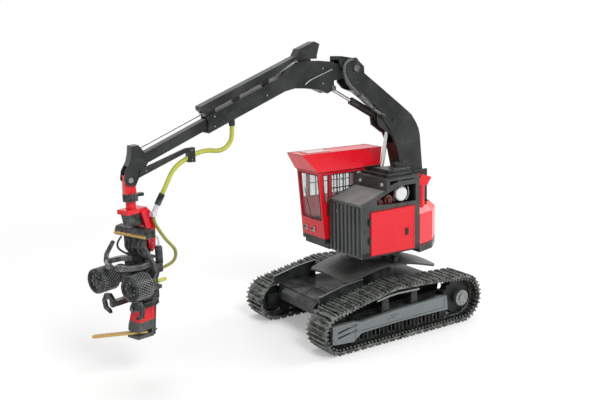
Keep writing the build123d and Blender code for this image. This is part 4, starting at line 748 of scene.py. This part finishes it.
cab_lines = side_strips(CAB_RIGHT_Y, [((-4.0, 43.6), (-4.0, 60.0)), ((13.9, 43.6), (13.9, 73.6)),
                                      ((-4.0, 43.6), (13.9, 43.6))], 0.16, 0.24, 0.05)
settle(join(cab_lines), "cab_door_seam", "superstructure", seam_black)
lamp_rims = copies(cup(1.15, 0.35, 0.2, 0.2, 28),
                   [(spot(18.25, y, 46.1), (1, 0, -0.08)) for y in (-14.8, -8.6)])
settle(lamp_rims, "cab_lamp_rims", "superstructure", dark_red, 40)
ROOF_Z, EAVES_Z = 82.55, 74.42
roof_outline = [(25.7, -4.3), (25.7, -17.3), (-19.7, -17.3), (-19.7, -4.3)]
roof_edge = [strip(spot(xa, ya, ROOF_Z), spot(xb, yb, ROOF_Z), 0.5, 0.3, 0.1,
                   across=(0, 1, 0) if ya == yb else (1, 0, 0))
             for (xa, ya), (xb, yb) in runs(roof_outline, closed=True)]
settle(join(roof_edge), "roof_edge", "superstructure", dark_red)
eaves = [strip(spot(-14.4, 0.62, EAVES_Z), spot(20.3, 0.62, EAVES_Z), 0.3, 0.34, 0.08),
         strip(spot(20.22, 0.6, EAVES_Z), spot(20.22, -19.0, EAVES_Z), 0.3, 0.34, 0.08, across=(1, 0, 0)),
         strip(spot(-14.4, -18.9, EAVES_Z), spot(20.3, -18.9, EAVES_Z), 0.3, 0.34, 0.08)]
settle(join(eaves), "roof_seal", "superstructure", seam_black)
hatch = bar((13.0, 6.6, 0.5), 0.12)
hatch.location = spot(14.4, -10.8, 82.8)
select_top()
bpy.ops.mesh.inset(thickness=0.6 * MM, depth=0)
bpy.ops.mesh.inset(thickness=0.15 * MM, depth=-0.15 * MM)
bpy.ops.object.mode_set(mode="OBJECT")
settle(hatch, "roof_hatch", "superstructure", roof_pane)

# Boom: knuckle pin ring with bolts, cap plate, welds, pin caps and hose clips
KNUCKLE = (6.7, 121.6)
rings = copies(cup(1.5, 0.35, 0.4, 0.2, 40),
               [(spot(KNUCKLE[0], BOOM_Y + hand * 4.6, KNUCKLE[1]), (0, hand, 0)) for hand, _ in SIDES])
settle(rings, "knuckle_rings", "boom", pin_metal, 40)
ring_bolts = [(spot(KNUCKLE[0] + a, BOOM_Y + hand * 4.0, KNUCKLE[1] + b), (0, hand, 0))
              for hand, _ in SIDES for a, b in circle(6, 2.1)]
settle(copies(bolt(0.3, 0.3), ring_bolts), "knuckle_bolts", "boom", pin_metal)
cap_plate = join([strip(spot(5.4, BOOM_Y, 125.35), spot(9.7, BOOM_Y, 126.1), 8.6, 0.5, 0.12),
                  strip(spot(9.5, BOOM_Y, 126.05), spot(14.6, BOOM_Y, 126.85), 8.6, 0.5, 0.12)])
settle(cap_plate, "knuckle_cap", "boom", boom_paint)
weld_lines = [((-28.0, 86.0), (-19.0, 86.4)), ((-24.0, 99.4), (-15.2, 90.0)), ((-6.0, 112.6), (-2.0, 107.4))]
welds = [piece for hand, _ in SIDES
         for piece in side_strips(BOOM_Y + hand * 3.98, weld_lines, 0.2, 0.3, 0.08)]
settle(join(welds), "boom_welds", "boom", boom_paint)
lift_caps = copies(cup(1.1, 0.4, 0.3, 0.15, 28),
                   [(spot(-15.2, BOOM_Y + hand * 4.0, 97.2), (0, hand, 0)) for hand, _ in SIDES])
settle(lift_caps, "lift_eye_caps", "boom", boom_paint, 40)
clips = []
for x, z in ((5.3, 109.7), (-2.5, 103.0)):
    clips += side_strips(12.2, [((x + 0.6, z - 0.9), (x - 0.6, z + 0.9))], 1.8, 0.9, 0.2)
    clips += side_strips(11.4, [((x, z + 0.1), (x - 0.9, z + 1.2))], 0.6, 0.8, 0.1)
settle(join(clips), "boom_hose_clips", "boom", moulded_black)

# Stick: bolts along the cover, weld line, the pin at the crowd rod's eye and a pipe along the left side
cover_bolts = [(spot(x, BOOM_Y + hand * 2.6, z), (0, hand, 0)) for hand, _ in SIDES
               for x, z in ((79.6, 108.6), (71.0, 112.2), (60.0, 117.0), (49.0, 121.6), (39.0, 126.6),
                            (31.0, 131.0), (27.6, 128.4))]
settle(copies(bolt(0.26, 0.22), cover_bolts), "cover_bolts", "stick", boom_paint)
stick_line = runs([(21.0, 118.6), (32.0, 119.6), (43.0, 117.0), (60.0, 109.8), (78.6, 102.2)])
stick_seams = [piece for hand, _ in SIDES
               for piece in side_strips(BOOM_Y + hand * 3.48, stick_line, 0.2, 0.26, 0.06)]
settle(join(stick_seams), "stick_seams", "stick", boom_paint)
crowd_caps = copies(cup(1.2, 0.4, 0.3, 0.15, 28),
                    [(spot(18.4, BOOM_Y + hand * 3.5, 113.4), (0, hand, 0)) for hand, _ in SIDES])
settle(crowd_caps, "crowd_eye_caps", "stick", pin_metal, 40)
stick_bolts = [(spot(x, BOOM_Y + hand * 3.5, z), (0, hand, 0)) for hand, _ in SIDES
               for x, z in ((52.0, 112.0), (24.0, 122.0), (24.0, 115.6), (76.6, 101.0), (76.6, 105.0))]
settle(copies(bolt(0.4, 0.3), stick_bolts), "stick_bolts", "stick", plain_metal)
stick_route = [spot(x, 11.4, z) for x, z in ((33.4, 115.4), (32.0, 116.9), (26.0, 119.1), (19.2, 121.5))]
pipe("stick_pipe", stick_route, 0.3, "stick", plain_metal)

# Extension: tip pin caps and guide bolts
tip_caps = copies(cup(1.05, 0.35, 0.3, 0.15, 32),
                  [(spot(112.9, BOOM_Y + hand * 2.5, 83.0), (0, hand, 0)) for hand, _ in SIDES])
settle(tip_caps, "tip_pin_caps", "extension", plain_metal, 40)
guide_bolts = [(spot(x, y, z), (0, 1, 0))
               for x, y, z in ((87.3, 11.0, 92.4), (87.3, 11.0, 88.6), (106.6, 10.6, 86.2))]
settle(copies(bolt(0.34, 0.3), guide_bolts), "guide_bolts", "extension", plain_metal)

# Feed rollers: raised diamond studs round each drum, a ringed end with bolts, and the arm's small fittings
ROLLER_V, ROLLER_Z, DRUM_RADIUS = 10.0, 43.4, 4.93
STUD_ROWS, STUDS_ROUND = 9, 30
for hand, side in SIDES:
    v = hand * ROLLER_V
    roller, arm = "feed_roller_" + side, "feed_arm_" + side
    studs = []
    for row in range(STUD_ROWS):
        for a, b in circle(STUDS_ROUND, 1.0, 0.5 * (row % 2)):
            outward = HEAD_V * a + UPWARD * b
            studs.append((head_spot(4.3 + row * 0.86, v, ROLLER_Z) + outward * DRUM_RADIUS * MM, outward))
    settle(copies(bolt(0.36, 0.14, 4), studs), "roller_studs_" + side, roller, stud_metal)
    end = copies(cup(3.7, 0.5, 0.5, 0.25, 48), [(head_spot(11.0, v, ROLLER_Z), HEAD_U)])
    boss = copies(cup(1.5, 0.9, 0.4, 0.3, 32), [(head_spot(11.2, v, ROLLER_Z), HEAD_U)])
    end_bolts = copies(bolt(0.34, 0.3),
                       [(head_spot(11.3, v + a, ROLLER_Z + b), HEAD_U) for a, b in circle(8, 2.5)])
    settle(join([end, boss]), "roller_end_" + side, roller, roller_finish, 40)
    settle(end_bolts, "roller_bolts_" + side, roller, stud_metal)
    motor_ring = copies(bolt(0.3, 0.3),
                        [(head_spot(1.6, v + a, ROLLER_Z + b), -HEAD_U) for a, b in circle(6, 2.5)])
    settle(motor_ring, "motor_bolts_" + side, arm, plain_metal)
    motor_route = [head_spot(u, hand * v, z)
                   for u, v, z in ((-3.0, 6.4, 45.7), (-0.8, 6.8, 47.4), (1.6, 8.4, 48.2), (2.5, 10.0, 46.6))]
    pipe("motor_line_" + side, motor_route, 0.4, arm, black_tube)
    coupler = bar((1.7, 2.0, 0.9), 0.15)
    coupler.matrix_world = (Matrix.Translation(head_spot(2.6, hand * ROLLER_V, 46.7))
                            @ Matrix.Rotation(HEAD_YAW, 4, "Z"))
    settle(coupler, "motor_coupler_" + side, arm, charcoal_paint)
    rod_route = [head_spot(u, hand * v, z)
                 for u, v, z in ((2.6, 13.6, 48.6), (2.4, 13.4, 52.0), (2.2, 10.6, 56.0))]
    pipe("arm_strut_rod_" + side, rod_route, 0.4, arm, bright_metal)

# Head, carrier and hanger: bolts, pin caps, small hoses, and the saw box's edges and back plate
head_bolts = [(head_spot(1.4, v, 62.2), HEAD_U) for v in (-8.2, -5.4, -2.6, 2.6, 5.4, 8.2)]
head_bolts += [(head_spot(-4.4, v, 49.2), UPWARD) for v in (-7.6, -3.4, 3.4, 7.6)]
head_bolts += [(head_spot(-5.6, v, 40.4), UPWARD) for v in (-4.0, 4.0)]
settle(copies(bolt(0.36, 0.3), head_bolts), "head_bolts", "head", pin_metal)
motor_caps = copies(cup(1.2, 0.4, 0.3, 0.15, 28), [(head_spot(-6.6, v, 55.6), UPWARD) for v in (-6.9, 6.9)])
settle(motor_caps, "motor_caps", "head", charcoal_paint, 40)
head_pipes = (((-6.6, 6.9, 56.0), (-6.8, 7.4, 58.6), (-5.4, 6.8, 60.8), (-3.0, 6.0, 60.6)),
              ((-6.6, -6.9, 56.0), (-6.8, -7.4, 58.6), (-5.4, -6.8, 60.8), (-3.0, -6.0, 60.6)),
              ((-6.8, 5.4, 49.0), (-8.0, 5.0, 46.0), (-7.6, 4.2, 42.4), (-6.0, 4.0, 39.6)),
              ((-6.8, -5.4, 49.0), (-8.0, -5.0, 46.0), (-7.6, -4.2, 42.4), (-6.0, -4.0, 39.6)),
              ((1.2, 5.4, 60.0), (3.4, 6.0, 58.0), (2.8, 6.0, 54.6), (-1.0, 5.6, 52.4)),
              ((1.2, -5.4, 60.0), (3.4, -6.0, 58.0), (2.8, -6.0, 54.6), (-1.0, -5.6, 52.4)),
              ((1.2, 2.4, 60.0), (2.8, 2.2, 57.6), (2.0, 1.6, 55.0), (0.2, 1.2, 53.4)),
              ((1.2, -2.4, 60.0), (2.8, -2.2, 57.6), (2.0, -1.6, 55.0), (0.2, -1.2, 53.4)))
for letter, route in zip("abcdefgh", head_pipes):
    finish, slot = (fitting_white, "lamp_white") if letter == "a" else (black_tube, "hose_black")
    pipe("head_pipe_" + letter, [head_spot(*place) for place in route], 0.4, "head", finish)
cheek_bolts = [(head_spot(u, hand * 3.6, z), HEAD_V * hand) for hand, _ in SIDES
               for u, z in ((-6.0, 69.4), (-6.6, 66.0), (-6.9, 61.0), (-6.6, 58.0))]
settle(copies(bolt(0.34, 0.24), cheek_bolts), "carrier_bolts", "head_carrier", red_paint)
tilt_caps = copies(cup(1.3, 0.35, 0.35, 0.15, 32),
                   [(head_spot(-6.2, hand * 3.6, 55.6), HEAD_V * hand) for hand, _ in SIDES])
settle(tilt_caps, "tilt_pin_caps", "head_carrier", plain_metal, 40)
collar_bolts = [(spot(ROTOR_X + a, BOOM_Y + b, 77.4), UPWARD)
                for k, (a, b) in enumerate(circle(8, 2.3)) if k not in (0, 4)]
settle(copies(bolt(0.32, 0.3), collar_bolts), "collar_bolts", "hanger", plain_metal)
BOX_SIDES = (-3.4, 3.0)
box_outline = [(-4.4, 31.4), (-1.4, 31.4), (0.9, 26.6), (-4.2, 26.6)]
box_edges = [strip(head_spot(ua, v, za), head_spot(ub, v, zb), 0.3, 0.5, 0.1, across=HEAD_V)
             for v in BOX_SIDES for (ua, za), (ub, zb) in runs(box_outline, closed=True)]
settle(join(box_edges), "saw_box_edges", "head", red_paint)
guard_bolts = [(head_spot(u, v, z), HEAD_V * (1 if v > 0 else -1)) for v in BOX_SIDES
               for u, z in ((-4.0, 24.2), (0.8, 24.2), (-3.6, 19.4), (2.4, 19.6))]
settle(copies(bolt(0.36, 0.26), guard_bolts), "guard_bolts_low", "head", pin_metal)
back_plate = strip(head_spot(-6.75, -0.2, 31.2), head_spot(-5.35, -0.2, 18.8), 6.8, 0.5, 0.12, across=HEAD_V)
settle(back_plate, "saw_back_plate", "head", guard_metal)
stand_offs = [(head_spot(-6.1, v, z), -HEAD_U) for v in (-2.6, 2.2) for z in (29.6, 20.4)]
settle(copies(bolt(0.4, 0.9), stand_offs), "back_plate_bolts", "head", pin_metal)
claw_caps = copies(cup(0.95, 0.3, 0.25, 0.12, 24),
                   [(head_spot(8.08, hand * 6.0, 33.7), HEAD_U) for hand, _ in SIDES])
settle(claw_caps, "claw_pin_caps", "head", pin_metal, 40)

# Saw bar: chain links along both edges
BAR_YAW = HEAD_YAW + radians(-39.5)
BAR_ALONG = Vector((cos(BAR_YAW), sin(BAR_YAW), 0))
BAR_ACROSS = Vector((-sin(BAR_YAW), cos(BAR_YAW), 0))
chain_root = head_spot(-0.8, 1.4, 21.36)
links = [(chain_root + (BAR_ALONG * (3.2 + k * 0.74) + BAR_ACROSS * hand * 0.98) * MM, UPWARD)
         for k in range(22) for hand, _ in SIDES]
settle(copies(bolt(0.2, 0.14, 4), links), "saw_chain_links", "saw_bar", gold_paint)

# Floor: matt near the object, where it takes the shadow, and white further out
deselect()
bpy.ops.mesh.primitive_plane_add(size=60)
floor = bpy.context.object
floor.name = "studio_floor"
material, graph = new_material("studio_floor")
cloud = graph.noise(3.0, 3.0)
shade = graph.mix(cloud * 0.2, (0.97, 0.97, 0.965), (0.95, 0.95, 0.94))
matt = graph.node("ShaderNodeBsdfPrincipled", {"Base Color": shade, "Roughness": cloud * 0.1 + 0.42})
white = graph.node("ShaderNodeEmission", {"Color": (1, 1, 1, 1), "Strength": 1.0})
place = graph.node("ShaderNodeTexCoord", out=3)
distance = graph.node("ShaderNodeVectorMath", {0: place}, 1, operation="LENGTH")
seen = graph.node("ShaderNodeLightPath", out=0)
far = (distance.step(0.11, 0.40) * 0.7 + 0.3) * seen
swept = graph.node("ShaderNodeMixShader", {0: far, 1: matt, 2: white})
graph.node("ShaderNodeOutputMaterial", {"Surface": swept})
floor.data.materials.append(material)

# The world is white where it is seen, mirrored or seen through glass, and lights the object at a plain level
WORLD_LEVEL = 0.48
studio = bpy.data.worlds.new("studio")
studio.use_nodes = True
graph = Graph(studio.node_tree)
seen, mirrored, through = (graph.node("ShaderNodeLightPath", out=n) for n in (0, 3, 6))
white = seen.math("MAXIMUM", mirrored).math("MAXIMUM", through)
sky = graph.node("ShaderNodeBackground",
                 {"Color": (1, 1, 1, 1), "Strength": white * (1 - WORLD_LEVEL) + WORLD_LEVEL})
graph.node("ShaderNodeOutputWorld", {"Surface": sky})
bpy.context.scene.world = studio

# Lamps: name, place in metres, width in metres, power in watts
LAMP_AIM = Vector((0, 0, 0.06))
for name, place, size, power in (("key", (0.04, 0.62, 0.60), 0.30, 3.4),
                                 ("side", (-0.50, 0.10, 0.30), 0.30, 1.4),
                                 ("top", (0.05, -0.15, 0.70), 0.35, 1.3)):
    lamp = bpy.data.objects.new(name, bpy.data.lights.new(name, "AREA"))
    bpy.context.collection.objects.link(lamp)
    lamp.data.size = size
    lamp.data.energy = power
    lamp.location = place
    lamp.rotation_euler = (LAMP_AIM - Vector(place)).to_track_quat("-Z", "Y").to_euler()
